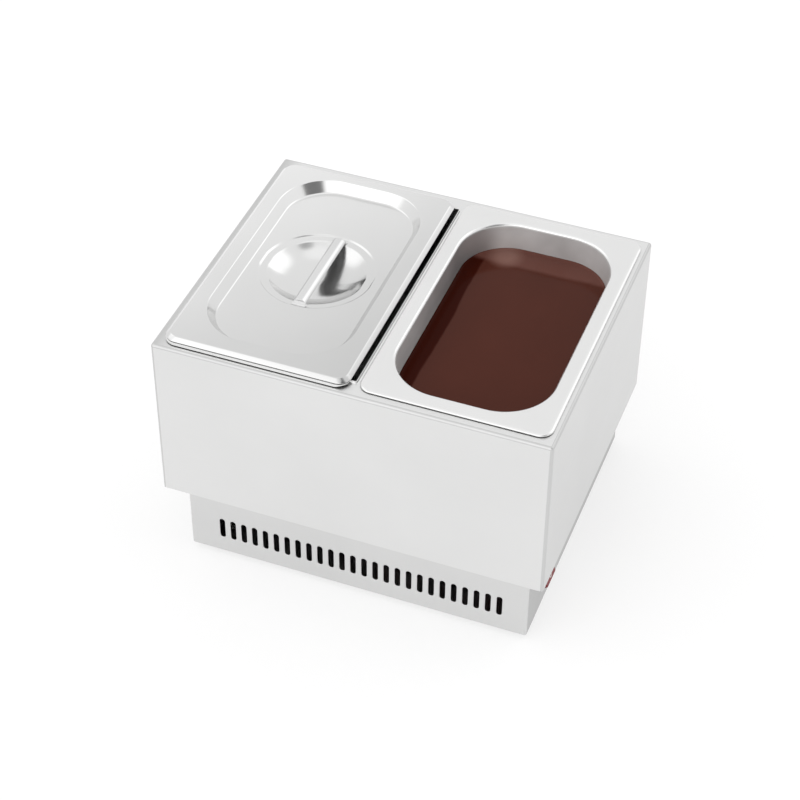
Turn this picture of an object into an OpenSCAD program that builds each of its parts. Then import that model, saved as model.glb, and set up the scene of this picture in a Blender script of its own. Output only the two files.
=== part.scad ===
// Chocolate melting tank: a steel housing on a narrower base, with a heated
// well that holds two lift-out pans. Millimetres, +Z up, origin on the table
// under the middle of the housing, -Y is the side with the vent slots.

/* [Housing] */
// Width of the housing, left to right
body_w = 345; // [344:0.5:346]
// Depth of the housing, front to back
body_d = 280; // [279:0.5:281]
// Height of the housing walls, deck included
upper_h = 162; // [160:1:166]
// Thickness of the sheet steel
sheet = 1; // [0.9:0.05:1.1]
// Radius of the upright corners and of the deck's edge
edge_r = 2.5; // [2:0.1:3]

/* [Base] */
// Height of the base under the housing
base_h = 63; // [62:0.5:64]
// How far the base steps in on the left
base_in_l = 22; // [21:0.5:23]
// How far the base steps in on the right
base_in_r = 13; // [13:0.5:14]
// How far the base steps in at the front
base_in_f = 4; // [3:0.5:5]
// How far the base steps in at the back
base_in_b = 10; // [9:0.5:11]
// Height of the rubber feet
foot_h = 5; // [5:0.5:6]
// Number of vent slots in the front of the base
vent_n = 26; // [20:1:27]
// Distance between neighbouring vent slots
vent_pitch = 10.19; // [9:0.01:10.3]
// Width of one vent slot
vent_w = 5; // [4:0.1:5.5]
// Height of one vent slot
vent_l = 22; // [18:0.5:24]

/* [Deck] */
// Width of each cut-out in the deck
cut_w = 154.5; // [153:0.5:155]
// Width of the bridge between the cut-outs
bridge_w = 8; // [7:0.5:9]
// Distance of the bridge's left edge from the middle
bridge_x = 1.7; // [1:0.1:2]
// Front edge of the cut-outs
cut_y0 = -123; // [-124:0.5:-122]
// Back edge of the cut-outs
cut_y1 = 121.5; // [121:0.5:122]

/* [Pans] */
// Width of a pan over its flange
pan_w = 162; // [161:0.5:163]
// Length of a pan over its flange
pan_l = 265; // [264:0.5:266]
// Depth of a pan
pan_h = 100; // [95:1:102]
// Width of the pan's mouth
mouth_w = 133.5; // [132:0.5:135]
// Length of the pan's mouth
mouth_l = 235; // [233:0.5:236]
// Corner radius of the mouth
mouth_r = 45; // [42:1:48]
// Depth of the chocolate's surface under the rim
choc_drop = 26; // [15:1:40]
// Thickness of the pan and lid steel
pan_t = 0.8; // [0.7:0.05:0.9]

/* [Lid] */
// Width of the lid over its rim
lid_w = 163; // [162:0.5:163]
// Length of the lid over its rim
lid_l = 262; // [260:0.5:264]
// Height of the lid's turned-down edge
lid_edge = 3.8; // [3.4:0.1:4.2]
// Depth of the sunk panel under the rim
lid_sink = 9; // [8:0.5:10]
// Radius of the ring round the dish
ring_r = 51; // [50:0.5:52]
// Radius of the dish's mouth
dish_r = 43.5; // [42:0.5:44.5]
// Depth of the dish
dish_h = 13; // [10:0.5:14]
// Width of the handle strap
strap_w = 11.5; // [10:0.5:12.5]

/* [Switch] */
// Place of the switch along the side, front is negative
switch_y = -90; // [-95:1:-85]
// Height of the middle of the switch above the base's lower edge
switch_up = 36; // [34:1:38]
// Tilt of the rocker either side of level
rocker_tilt = 12; // [8:1:13]

/* [Hidden] */
$fn = 48;
z0 = foot_h;                 // lower edge of the base
z1 = z0 + base_h;            // lower edge of the housing
z2 = z1 + upper_h;           // top of the deck
hx = body_w / 2;
hy = body_d / 2;
bx0 = -hx + base_in_l;
bx1 = hx - base_in_r;
by0 = -hy + base_in_f;
by1 = hy - base_in_b;
bcx = (bx0 + bx1) / 2;
bcy = (by0 + by1) / 2;
rim_z = z2 + 2.8;            // top of the pan flanges
lx0 = bridge_x - cut_w;      // left cut-out
rx0 = bridge_x + bridge_w;   // right cut-out
well_x0 = lx0 - 3.2;         // inner faces of the well
well_x1 = rx0 + cut_w + 2.8;
well_y0 = cut_y0 - 2;
well_y1 = cut_y1 + 2;
well_z = z2 - 118;           // top of the well's floor
lp = [-83.5, -2.5];          // middle of the left pan
rp = [86, 0.8];              // middle of the right pan
ld = lp;                     // middle of the lid
pc = [ld[0] - 0.1, ld[1] + 2.7]; // middle of its sunk panel
dc = [pc[0], pc[1] + 1.5];   // middle of its dish
lid_z = rim_z + 0.2 + lid_edge;  // top of the lid's rim
pnl_z = lid_z - lid_sink;    // top of the lid's sunk panel
ring_z = pnl_z - 1.5;        // top of the ring round the dish
strap_x = dc[0] + 2.5;
side_x = bx1;                // outer face of the base's right side
sw_z = z0 + switch_up;
sw_hx = side_x - 2.5;        // rocker's pivot
ct_y = 25;                   // controller on the right side
ct_z = z0 + 36;
in_x = 60;                   // power inlet on the back
in_z = z0 + 31;
in_y = by1;
mat_l = [-146, -6];          // heater mats, left and right
mat_r = [17, 157];
foot_p = [[bx0 + 24, by0 + 28], [bx1 - 24, by0 + 28], [bx0 + 24, by1 - 28], [bx1 - 24, by1 - 28]];
cover_p = [[bx0 + 8, bcy - 85], [bx0 + 8, bcy + 85], [bx1 - 8, bcy - 85], [bx1 - 8, bcy + 85], [bcx, by0 + 8], [bcx, by1 - 8]];
bolt_p = [[bx0 + 8, bcy - 60], [bx0 + 8, bcy + 60], [bx1 - 8, bcy - 20], [bx1 - 8, bcy + 85], [bcx - 80, by0 + 11], [bcx + 80, by0 + 11], [bcx - 80, by1 - 11], [bcx + 80, by1 - 11]];
rivet_p = [for (s = [-1, 1], y = [-105, -35, 35, 105]) [s * (hx - 5.6), y]];
stud_p = [for (m = [mat_l, mat_r], x = [m[0] + 10, m[1] - 10], y = [-95, 95]) [x, y]];
btn_p = [[ct_y + 17, ct_z + 6], [ct_y + 28, ct_z + 6], [ct_y + 17, ct_z - 6], [ct_y + 28, ct_z - 6]];

steel = [0.83, 0.83, 0.83];
steel_d = [0.68, 0.69, 0.70];
zinc = [0.72, 0.72, 0.68];

wr = 1.3;                    // radius of a wire

// ---------- helpers ----------
module box(x0, x1, y0, y1, za, zb) translate([x0, y0, za]) cube([x1 - x0, y1 - y0, zb - za]);

// Rectangle with round corners, centred
module rr(w, d, r) {
  square([w - 2 * r, d], center = true);
  square([w, d - 2 * r], center = true);
  for (sx = [-1, 1], sy = [-1, 1]) translate([sx * (w / 2 - r), sy * (d / 2 - r)]) circle(r);
}
module rbox(x0, x1, y0, y1, za, zb, r) translate([(x0 + x1) / 2, (y0 + y1) / 2, za]) linear_extrude(zb - za) rr(x1 - x0, y1 - y0, r);

// Outline with two round upper corners, standing on y = 0
module arch(w, h, r) {
  translate([-w / 2, 0]) square([w, h - r]);
  translate([-w / 2 + r, 0]) square([w - 2 * r, h]);
  for (s = [-1, 1]) translate([s * (w / 2 - r), h - r]) circle(r);
}
// Slab with round upright corners and a round upper edge
module slab(w, d, za, zb, rc, re) intersection() {
  rbox(-w / 2, w / 2, -d / 2, d / 2, za, zb + 1, rc);
  translate([0, d / 2 + 1, za]) rotate([90, 0, 0]) linear_extrude(d + 2) arch(w, zb - za, re);
  translate([-w / 2 - 1, 0, za]) rotate([90, 0, 90]) linear_extrude(w + 2) arch(d, zb - za, re);
}
module hole(p, r, za, zb) translate([p[0], p[1], za]) cylinder(r = r, h = zb - za);
module hex(p, af, bore, za, zb) difference() {
  translate([p[0], p[1], za]) cylinder(r = af / 2 / cos(30), h = zb - za, $fn = 6);
  hole(p, bore, za - 1, zb + 1);
}

// Pan body: thin rounded slabs whose hull is the drawn shape; o grows it outward
module pan_slab(c, z, inset, o) translate([c[0], c[1], z]) linear_extrude(0.02)
  rr(mouth_w - 2 * inset + 2 * o, mouth_l - 2 * inset + 2 * o, mouth_r - inset * 0.55 + o, $fn = 32);
function taper(d) = d * 0.07;
module pan_body(c, o, ztop) {
  zb = rim_z - pan_h;
  fr = 12;
  hull() {
    pan_slab(c, ztop - 0.02, taper(rim_z - ztop), o, $fn = 32);
    for (a = [0, 30, 60, 90]) pan_slab(c, zb - o + fr * (1 - sin(a)), taper(pan_h - fr) + fr * (1 - cos(a)), o, $fn = 32);
  }
}
module pan(c) {
  difference() {
    union() {
      rbox(c[0] - pan_w / 2, c[0] + pan_w / 2, c[1] - pan_l / 2, c[1] + pan_l / 2, rim_z - pan_t, rim_z, 11);
      difference() {
        rbox(c[0] - pan_w / 2, c[0] + pan_w / 2, c[1] - pan_l / 2, c[1] + pan_l / 2, z2 + 1.5, rim_z - pan_t / 2, 11);
        rbox(c[0] - pan_w / 2 + pan_t, c[0] + pan_w / 2 - pan_t, c[1] - pan_l / 2 + pan_t, c[1] + pan_l / 2 - pan_t, z2 - 1, rim_z, 11 - pan_t);
      }
      pan_body(c, pan_t, rim_z - pan_t / 2);
    }
    pan_body(c, 0, rim_z + 0.05);
  }
}

// Smooth run of a wire from a to b by way of mid; it leaves each end straight, along da and db
function unit(v) = v / norm(v);
function tang(p, i, da, db) = i == 0 ? da : i == len(p) - 1 ? -db : unit(p[i + 1] - p[i - 1]);
function bend(p, q, d, e, l, t) = (2 * t * t * t - 3 * t * t + 1) * p + (t * t * t - 2 * t * t + t) * l * d + (3 * t * t - 2 * t * t * t) * q + (t * t * t - t * t) * l * e;
function run(p, da, db, n = 4) = concat([for (i = [0:len(p) - 2], k = [0:n - 1])
  bend(p[i], p[i + 1], tang(p, i, da, db), tang(p, i + 1, da, db), norm(p[i + 1] - p[i]), k / n)], [p[len(p) - 1]]);
module wire(a, da, mid, b, db, r = wr) {
  q = concat([a + 0.4 * da], run(concat([a + 4 * da], mid, [b + 4 * db]), da, db), [b + 0.4 * db]);
  m = len(q);
  s = 8;
  ref = unit([0.31, 0.52, 0.79]);
  pts = [for (i = [0:m - 1])
    let (t = unit(q[min(i + 1, m - 1)] - q[max(i - 1, 0)]), u = unit(cross(t, ref)), v = cross(t, u))
    for (k = [0:s - 1]) q[i] + r * (cos(360 * k / s) * u + sin(360 * k / s) * v)];
  faces = concat([[for (k = [0:s - 1]) s - 1 - k]],
    [for (i = [0:m - 2], k = [0:s - 1]) [i * s + k, i * s + (k + 1) % s, (i + 1) * s + (k + 1) % s, (i + 1) * s + k]],
    [[for (k = [0:s - 1]) (m - 1) * s + k]]);
  polyhedron(points = pts, faces = [for (f = faces) [for (j = [len(f) - 1:-1:0]) f[j]]], convexity = 6);
}

// ---------- housing ----------
module upper_housing() color(steel) {
  difference() {
    rbox(-hx, hx, -hy, hy, z1, z2 - edge_r, edge_r);
    rbox(-hx + sheet, hx - sheet, -hy + sheet, hy - sheet, z1 - 1, z2, edge_r - sheet);
  }
  difference() {
    rbox(-hx + sheet / 2, hx - sheet / 2, -hy + sheet / 2, hy - sheet / 2, z1 + 1, z1 + 2, edge_r - sheet / 2);
    box(-hx + 10, hx - 10, -hy + 10, hy - 10, z1, z1 + 3);
    for (p = rivet_p) hole(p, 1.65, z1, z1 + 3);
  }
}

module top_deck() color(steel) difference() {
  union() {
    difference() {
      slab(body_w, body_d, z2 - edge_r, z2, edge_r, edge_r - 0.01);
      slab(body_w - 2 * sheet, body_d - 2 * sheet, z2 - edge_r - 1, z2 - sheet, edge_r - sheet, edge_r - sheet);
    }
    // collars round the cut-outs; the pan flanges rest on their upper edges
    for (x = [lx0, rx0]) box(x - sheet, x + cut_w + sheet, cut_y0 - sheet, cut_y1 + sheet, z2 - 7, z2 + 1.9);
  }
  for (x = [lx0, rx0]) box(x, x + cut_w, cut_y0, cut_y1, z2 - 20, z2 + 3);
  // notches that let the left flange's turned-down edge pass the collar
  for (y = [cut_y0, cut_y1]) box(lp[0] + pan_w / 2 - 2.6, lp[0] + pan_w / 2 + 0.6, y - 2, y + 2, z2 + 1.1, z2 + 3);
}

module heated_well() color(steel_d) {
  difference() {
    rbox(well_x0 - sheet, well_x1 + sheet, well_y0 - sheet, well_y1 + sheet, well_z - sheet, z2 - sheet - 0.02, 5);
    rbox(well_x0, well_x1, well_y0, well_y1, well_z, z2, 4);
  }
  difference() {
    rbox(well_x0 - 8, hx - edge_r - 0.1, well_y0 - 8, well_y1 + 8, z2 - 2 * sheet - 0.02, z2 - sheet - 0.02, 9);
    rbox(well_x0 - sheet / 2, well_x1 + sheet / 2, well_y0 - sheet / 2, well_y1 + sheet / 2, well_z, z2, 4.5);
  }
}

module insulation_wrap() color([0.93, 0.9, 0.72]) difference() {
  rbox(-hx + sheet + 0.4, hx - sheet - 0.4, -hy + sheet + 0.4, hy - sheet - 0.4, well_z - 2, z2 - 8, 2);
  rbox(well_x0 - sheet - 0.3, well_x1 + sheet + 0.3, well_y0 - sheet - 0.3, well_y1 + sheet + 0.3, well_z - 10, z2, 5.3);
}

module insulation_board() color([0.93, 0.9, 0.72]) difference() {
  box(bx0 + 15, bx1 - 15, by0 + 16, by1 - 16, z1 + 1, z1 + 18);
  hole([5.5, -75], 14, z1, z1 + 30);
}

module partition_plate() color(steel_d) difference() {
  rbox(-hx + sheet + 0.2, hx - sheet - 0.2, -hy + sheet + 0.2, hy - sheet - 0.2, z1, z1 + 1, 1.5);
  hole([5.5, -75], 9, z1 - 1, z1 + 2);
  for (p = bolt_p) hole(p, 2.15, z1 - 1, z1 + 2);
  for (p = rivet_p) hole(p, 1.65, z1 - 1, z1 + 2);
}

module partition_rivets() color(zinc) for (p = rivet_p) {
  hole(p, 1.6, z1 - 0.5, z1 + 2.5);
  hole(p, 3.2, z1 - 1, z1);
  hole(p, 2.6, z1 + 2, z1 + 3.2);
}

module cable_grommet() color([0.1, 0.1, 0.1]) translate([5.5, -75, z1]) rotate_extrude()
  polygon([[6, -2.5], [11, -2.5], [11, -0.05], [8.9, -0.05], [8.9, 1.05], [11, 1.05], [11, 3.5], [6, 3.5]]);

// ---------- base ----------
module base_ring(za, zb) difference() {
  rbox(bx0 + sheet / 2, bx1 - sheet / 2, by0 + sheet / 2, by1 - sheet / 2, za, zb, 1.5);
  box(bx0 + 15, bx1 - 15, by0 + 15, by1 - 15, za - 1, zb + 1);
}
module base_wrap() color(steel) difference() {
  union() {
    difference() {
      rbox(bx0, bx1, by0, by1, z0, z1, 2);
      rbox(bx0 + sheet, bx1 - sheet, by0 + sheet, by1 - sheet, z0 - 1, z1 + 1, 1);
    }
    difference() { base_ring(z0 + 1, z0 + 2); for (p = cover_p) hole(p, 2, z0, z0 + 3); }
    difference() { base_ring(z1 - 1, z1); for (p = bolt_p) hole(p, 2.15, z1 - 2, z1 + 1); }
  }
  // vent slots
  for (i = [0:vent_n - 1]) translate([7.2 + (i - (vent_n - 1) / 2) * vent_pitch, by0 - 1, z0 + 27.5]) rotate([-90, 0, 0]) linear_extrude(sheet + 2) {
    square([vent_w, vent_l - vent_w], center = true);
    for (s = [-1, 1]) translate([0, s * (vent_l - vent_w) / 2]) circle(vent_w / 2);
  }
  // openings for the switch, the controller and the inlet
  box(bx1 - 2, bx1 + 1, switch_y - 12.9, switch_y + 12.9, sw_z - 14.1, sw_z + 14.1);
  box(bx1 - 2, bx1 + 1, ct_y - 35.3, ct_y + 35.3, ct_z - 14.4, ct_z + 14.4);
  box(in_x - 13.8, in_x + 13.8, by1 - 2, by1 + 1, in_z - 10.3, in_z + 10.3);
  for (s = [-1, 1]) translate([in_x + s * 20, by1 + 1, in_z]) rotate([90, 0, 0]) cylinder(r = 1.6, h = 4);
}

module bottom_cover() color(steel_d) difference() {
  rbox(bx0 + sheet + 0.4, bx1 - sheet - 0.4, by0 + sheet + 0.4, by1 - sheet - 0.4, z0, z0 + 1, 1);
  for (p = cover_p) hole(p, 2.2, z0 - 1, z0 + 2);
  for (p = foot_p) hole(p, 2.2, z0 - 1, z0 + 2);
}

module cover_screws() color(zinc) for (p = cover_p) {
  hole(p, 3.6, z0 - 2, z0);
  hole(p, 1.9, z0 - 1, z0 + 6);
}

module base_bolts() color(zinc) for (p = bolt_p) {
  hole(p, 3.5, z1 - 3.6, z1 - 1);
  hole(p, 2, z1 - 2, z1 + 5.2);
}
module base_nuts() color(zinc) for (p = bolt_p) hex(p, 7, 2.03, z1 + 1, z1 + 4.2);

module feet() color([0.09, 0.09, 0.09]) for (p = foot_p) difference() {
  translate([p[0], p[1], 0]) rotate_extrude() polygon([[2.2, 0], [10.4, 0], [11, 0.6], [11, z0 - 0.6], [10.6, z0], [2.2, z0]]);
  hole(p, 5, -1, 2.2);
}
module foot_screws() color(zinc) for (p = foot_p) {
  hole(p, 4.2, 0.6, 2.2);
  hole(p, 2, 2, z0 + 6.5);
}
module foot_nuts() color(zinc) for (p = foot_p) hex(p, 7, 2.03, z0 + 1, z0 + 4.2);

// ---------- heating ----------
module heater_mat(m) difference() {
  rbox(m[0], m[1], -110, 110, well_z - sheet - 3, well_z - sheet, 6);
  for (p = stud_p) hole(p, 3, well_z - 10, well_z);
}
module heater_mat_left() color([0.72, 0.3, 0.16]) heater_mat(mat_l);
module heater_mat_right() color([0.72, 0.3, 0.16]) heater_mat(mat_r);
module clamp_plate(m) difference() {
  rbox(m[0] + 2, m[1] - 2, -108, 108, well_z - sheet - 4, well_z - sheet - 3, 5);
  for (p = stud_p) hole(p, 2.2, well_z - 10, well_z);
}
module clamp_plate_left() color(zinc) clamp_plate(mat_l);
module clamp_plate_right() color(zinc) clamp_plate(mat_r);
module well_studs() color(zinc) for (p = stud_p) hole(p, 2, well_z - sheet - 11, well_z - sheet);
module stud_nuts() color(zinc) for (p = stud_p) hex(p, 7, 2.03, well_z - sheet - 7.2, well_z - sheet - 4);

pr_z = well_z - sheet - 3.4;
module temperature_probe() color(steel) translate([5.5, -45, pr_z]) rotate([-90, 0, 0]) {
  cylinder(r = 3, h = 50);
  translate([0, 0, -6]) cylinder(r = 2, h = 7);
}
module probe_clip() color(zinc) difference() {
  union() {
    box(-3.5, 14.5, -28, -16, well_z - sheet - 1, well_z - sheet);
    translate([5.5, -28, pr_z]) rotate([-90, 0, 0]) cylinder(r = 4.2, h = 12);
    box(1.3, 9.7, -28, -16, pr_z, well_z - sheet);
  }
  translate([5.5, -30, pr_z]) rotate([-90, 0, 0]) cylinder(r = 3.05, h = 16);
  box(-5, 16, -30, -14, well_z - sheet, well_z + 2);
}
module thermal_cutout() color([0.16, 0.16, 0.17]) {
  hole([5.5, 70], 10, well_z - sheet - 1.2, well_z - sheet);
  hole([5.5, 70], 8, well_z - sheet - 9, well_z - sheet - 1);
  for (s = [-1, 1]) box(5.5 - 3.1, 5.5 + 3.1, 70 + s * 4 - 0.4, 70 + s * 4 + 0.4, well_z - sheet - 16, well_z - sheet - 8);
}

// ---------- electrics in the base ----------
tb = [-30, 42, 58, 78];
tb_z = z0 + 1;
function tb_x(i) = tb[0] + 6 + 12 * i;
module terminal_block() color([0.9, 0.9, 0.86]) difference() {
  box(tb[0], tb[1], tb[2], tb[3], tb_z, tb_z + 16);
  for (i = [0:5], y = [tb[2] + 5, tb[3] - 5]) hole([tb_x(i), y], 2.4, tb_z + 9, tb_z + 17);
  for (i = [0:4]) box(tb_x(i) + 5.4, tb_x(i) + 6.6, tb[2] - 1, tb[3] + 1, tb_z + 11, tb_z + 17);
}
module terminal_screws() color([0.8, 0.66, 0.3]) for (i = [0:5], y = [tb[2] + 5, tb[3] - 5]) hole([tb_x(i), y], 2.1, tb_z + 9, tb_z + 13);

module earth_stud() color([0.8, 0.66, 0.3]) {
  hole([95, 95], 2, z0 + 1, z0 + 16);
  hole([95, 95], 5, z0 + 1, z0 + 2.5);
  translate([95, 95, z0 + 2.2]) cylinder(r = 4.2, h = 3.6, $fn = 6);
}

// Wires: from the inlet to the block and the earth stud, on to the switch,
// the controller, and up through the grommet to the heaters and the sensors
ud = well_z - sheet;         // underside of the well
cb = side_x - 60;            // back of the controller
st = side_x - 33;            // ends of the switch's tabs
module wiring() {
  tf = tb[2];
  tr = tb[3];
  wz = tb_z + 5;
  color([0.35, 0.2, 0.1]) {
    wire([in_x - 7, in_y - 27, in_z - 2], [0, -1, 0], [], [tb_x(4), tr, wz], [0, 1, 0]);
    wire([tb_x(4), tf, wz], [0, -1, 0], [[tb_x(4) + 2, tf - 20, wz + 1], [70, -40, wz + 3], [108, switch_y + 5, sw_z - 7]], [st, switch_y + 6, sw_z - 7], [-1, 0, 0]);
  }
  color([0.2, 0.35, 0.65]) {
    wire([in_x + 7, in_y - 27, in_z - 2], [0, -1, 0], [], [tb_x(5), tr, wz], [0, 1, 0]);
    wire([tb_x(5), tf, wz], [0, -1, 0], [[tb_x(5) + 2, tf - 16, wz + 1], [78, -30, wz + 8], [108, switch_y + 8, sw_z + 7]], [st, switch_y + 6, sw_z + 7], [-1, 0, 0]);
  }
  color([0.45, 0.6, 0.15]) wire([in_x, in_y - 27, in_z + 2], [0, -1, 0], [[82, 92, z0 + 26]], [95, 95, z0 + 16], [0, 0, 1]);
  color([0.12, 0.12, 0.12]) {
    wire([tb_x(3), tf, wz], [0, -1, 0], [[60, 20, ct_z - 6]], [cb, ct_y - 10, ct_z - 6], [-1, 0, 0]);
    wire([tb_x(2), tf, wz], [0, -1, 0], [[50, 26, ct_z + 4]], [cb, ct_y + 4, ct_z + 4], [-1, 0, 0]);
  }
  color([0.75, 0.1, 0.08]) {
    wire([tb_x(0), tf, wz], [0, -1, 0], [[-10, -40, z1 - 30], [2.5, -74, z1 - 12], [2.5, -75, z1 + 2], [2.5, -75, z1 + 20], [1.5, -71, z1 + 33]], [mat_l[1], -67, ud - 1.55], [1, 0, 0]);
    wire([tb_x(1), tf, wz], [0, -1, 0], [[2, -40, z1 - 30], [8.5, -74, z1 - 12], [8.5, -75, z1 + 2], [8.5, -75, z1 + 20], [9.5, -71, z1 + 33]], [mat_r[0], -67, ud - 1.55], [-1, 0, 0]);
    wire([5.5, 66, ud - 16], [0, 0, -1], [[-1, 56, ud - 12]], [mat_l[1], 53, ud - 1.55], [1, 0, 0]);
    wire([5.5, 74, ud - 16], [0, 0, -1], [[12, 84, ud - 12]], [mat_r[0], 87, ud - 1.55], [-1, 0, 0]);
  }
  color([0.9, 0.9, 0.9]) wire([5.5, -51, pr_z], [0, -1, 0], [[5.5, -70, z1 + 22], [5.5, -71.5, z1 + 3], [5.5, -71.5, z1 - 8], [30, -50, z1 - 22], [70, 0, ct_z + 8]], [cb, ct_y - 14, ct_z + 8], [-1, 0, 0]);
}

// ---------- mains switch ----------
module switch_housing() color([0.07, 0.07, 0.07]) difference() {
  union() {
    translate([side_x, switch_y, sw_z]) rotate([90, 0, 90]) linear_extrude(2) rr(29.4, 30.4, 1.5);
    box(side_x - 25, side_x + 1, switch_y - 12.6, switch_y + 12.6, sw_z - 13.8, sw_z + 13.8);
    for (y = [-6, 6], z = [-7, 7]) box(side_x - 33, side_x - 24, switch_y + y - 2.4, switch_y + y + 2.4, sw_z + z - 0.4, sw_z + z + 0.4);
  }
  box(side_x - 9.5, side_x + 3, switch_y - 11.5, switch_y + 11.5, sw_z - 12.9, sw_z + 12.9);
  translate([sw_hx, switch_y - 12.2, sw_z]) rotate([-90, 0, 0]) cylinder(r = 1.55, h = 24.4);
}
module switch_rocker() color([0.5, 0.09, 0.1]) translate([sw_hx, switch_y, sw_z]) rotate([0, -rocker_tilt, 0]) {
  intersection() {
    translate([0, 11.2, 0]) rotate([90, 0, 0]) cylinder(r = 12.6, h = 22.4);
    translate([0, 11.2, 0]) rotate([90, 0, 0]) linear_extrude(22.4)
      polygon([[-3, -14], [-3, 14], [5 + 14 * tan(8), 14], [5, 0], [5 + 14 * tan(8), -14]]);
  }
  translate([0, 12, 0]) rotate([90, 0, 0]) cylinder(r = 1.5, h = 24);
}

// ---------- temperature controller ----------
module controller_case() color([0.08, 0.08, 0.09]) difference() {
  union() {
    translate([side_x, ct_y, ct_z]) rotate([90, 0, 90]) linear_extrude(2) rr(75, 34.4, 2);
    box(side_x - 60, side_x + 1, ct_y - 35, ct_y + 35, ct_z - 14.1, ct_z + 14.1);
  }
  // window recess and the space behind the buttons
  box(side_x + 0.8, side_x + 3, ct_y - 32, ct_y + 9, ct_z - 9, ct_z + 9);
  box(side_x - 4, side_x - 0.5, ct_y + 11, ct_y + 34, ct_z - 12, ct_z + 12);
  for (p = btn_p) translate([side_x - 2, p[0], p[1]]) rotate([0, 90, 0]) cylinder(r = 3.6, h = 6);
}
module controller_lens() color([0.12, 0.02, 0.02]) box(side_x + 0.85, side_x + 1.9, ct_y - 31.9, ct_y + 8.9, ct_z - 8.9, ct_z + 8.9);
module controller_clips() color([0.85, 0.45, 0.1]) for (s = [-1, 1]) box(side_x - 16, side_x - sheet - 0.2, ct_y + s * 37.1 - 2, ct_y + s * 37.1 + 2, ct_z - 8, ct_z + 8);
module push(p) translate([0, p[0], p[1]]) rotate([0, 90, 0]) {
  translate([0, 0, side_x - 1.3]) cylinder(r = 3.3, h = 4.1);
  translate([0, 0, side_x - 2.1]) cylinder(r = 4.4, h = 1);
}
module button_power() color([0.75, 0.12, 0.1]) push(btn_p[0]);
module button_set() color([0.85, 0.85, 0.85]) push(btn_p[1]);
module button_up() color([0.85, 0.85, 0.85]) push(btn_p[2]);
module button_down() color([0.85, 0.85, 0.85]) push(btn_p[3]);

// ---------- power inlet ----------
inlet_in = [[-12, -8.2], [12, -8.2], [12, 3.5], [7.4, 8.2], [-7.4, 8.2], [-12, 3.5]];
pin_p = [[-7, -2], [0, 2], [7, -2]];
module inlet_housing() color([0.07, 0.07, 0.07]) difference() {
  union() {
    translate([in_x, in_y, in_z]) rotate([-90, 0, 0]) linear_extrude(3) rr(50, 22.6, 3);
    box(in_x - 13.5, in_x + 13.5, in_y - 19, in_y + 1, in_z - 10, in_z + 10);
  }
  translate([in_x, in_y - 13, in_z]) rotate([90, 0, 0]) mirror([0, 0, 1]) linear_extrude(20) polygon(inlet_in);
  for (p = pin_p) box(in_x + p[0] - 1.05, in_x + p[0] + 1.05, in_y - 25, in_y, in_z + p[1] - 2.05, in_z + p[1] + 2.05);
  for (s = [-1, 1]) translate([in_x + s * 20, in_y + 4, in_z]) rotate([90, 0, 0]) { cylinder(r = 1.6, h = 8); cylinder(r = 3, h = 2.6); }
}
module inlet_pins() color([0.75, 0.72, 0.6]) for (p = pin_p) box(in_x + p[0] - 1, in_x + p[0] + 1, in_y - 27, in_y + 1, in_z + p[1] - 2, in_z + p[1] + 2);
module inlet_screws() color(zinc) for (s = [-1, 1]) translate([in_x + s * 20, in_y, in_z]) rotate([90, 0, 0]) {
  translate([0, 0, -2.8]) cylinder(r = 2.8, h = 1.4);
  translate([0, 0, -1.6]) cylinder(r = 1.45, h = 7);
  translate([0, 0, sheet]) cylinder(r = 3.1, h = 2.4, $fn = 6);
}

// ---------- pans, chocolate, lid ----------
module left_pan() color(steel) pan(lp);
module right_pan() color(steel) pan(rp);
module melted_chocolate() color([0.31, 0.17, 0.14]) intersection() {
  pan_body(rp, -0.1, rim_z - 2);
  box(rp[0] - 100, rp[0] + 100, rp[1] - 150, rp[1] + 150, 0, rim_z - choc_drop);
}

module lid_slab(z, w, l, r) translate([pc[0], pc[1], z]) linear_extrude(0.02) rr(w, l, r, $fn = 32);
module left_lid() color(steel) {
  tw = 127;
  tl = 230;
  lo = 2 * 4;
  rho = (dish_r * dish_r + dish_h * dish_h) / (2 * dish_h);
  difference() {
    union() {
      rbox(ld[0] - lid_w / 2, ld[0] + lid_w / 2, ld[1] - lid_l / 2, ld[1] + lid_l / 2, lid_z - pan_t, lid_z, 11);
      difference() {
        rbox(ld[0] - lid_w / 2, ld[0] + lid_w / 2, ld[1] - lid_l / 2, ld[1] + lid_l / 2, rim_z + 0.2, lid_z - pan_t / 2, 11);
        rbox(ld[0] - lid_w / 2 + pan_t, ld[0] + lid_w / 2 - pan_t, ld[1] - lid_l / 2 + pan_t, ld[1] + lid_l / 2 - pan_t, rim_z - 1, lid_z, 11 - pan_t);
      }
      hull() {
        lid_slab(lid_z - pan_t, tw + 1.8, tl + 1.8, 45);
        lid_slab(pnl_z - pan_t, tw + 1.8 - lo, tl + 1.8 - lo, 42);
      }
    }
    hull() {
      lid_slab(lid_z + 0.02, tw, tl, 44);
      lid_slab(pnl_z, tw - lo, tl - lo, 41);
    }
    translate([dc[0], dc[1], pnl_z - 4]) cylinder(r = ring_r - 0.8, h = 10);
  }
  // ring and dish
  translate([dc[0], dc[1], 0]) rotate_extrude($fn = 64) polygon(concat(
    [[ring_r, pnl_z], [ring_r - 1, pnl_z], [ring_r - 2.2, ring_z], [dish_r, ring_z]],
    [for (k = [1:8]) let (r = dish_r * (1 - k / 8)) [r, ring_z - dish_h + rho - sqrt(rho * rho - r * r)]],
    [for (k = [8:-1:0]) let (r = dish_r * (1 - k / 8)) [r, ring_z - pan_t - dish_h + rho - sqrt(rho * rho - r * r)]],
    [[ring_r - 1.8, ring_z - pan_t], [ring_r - 0.6, pnl_z - pan_t], [ring_r, pnl_z - pan_t]]));
}

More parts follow.
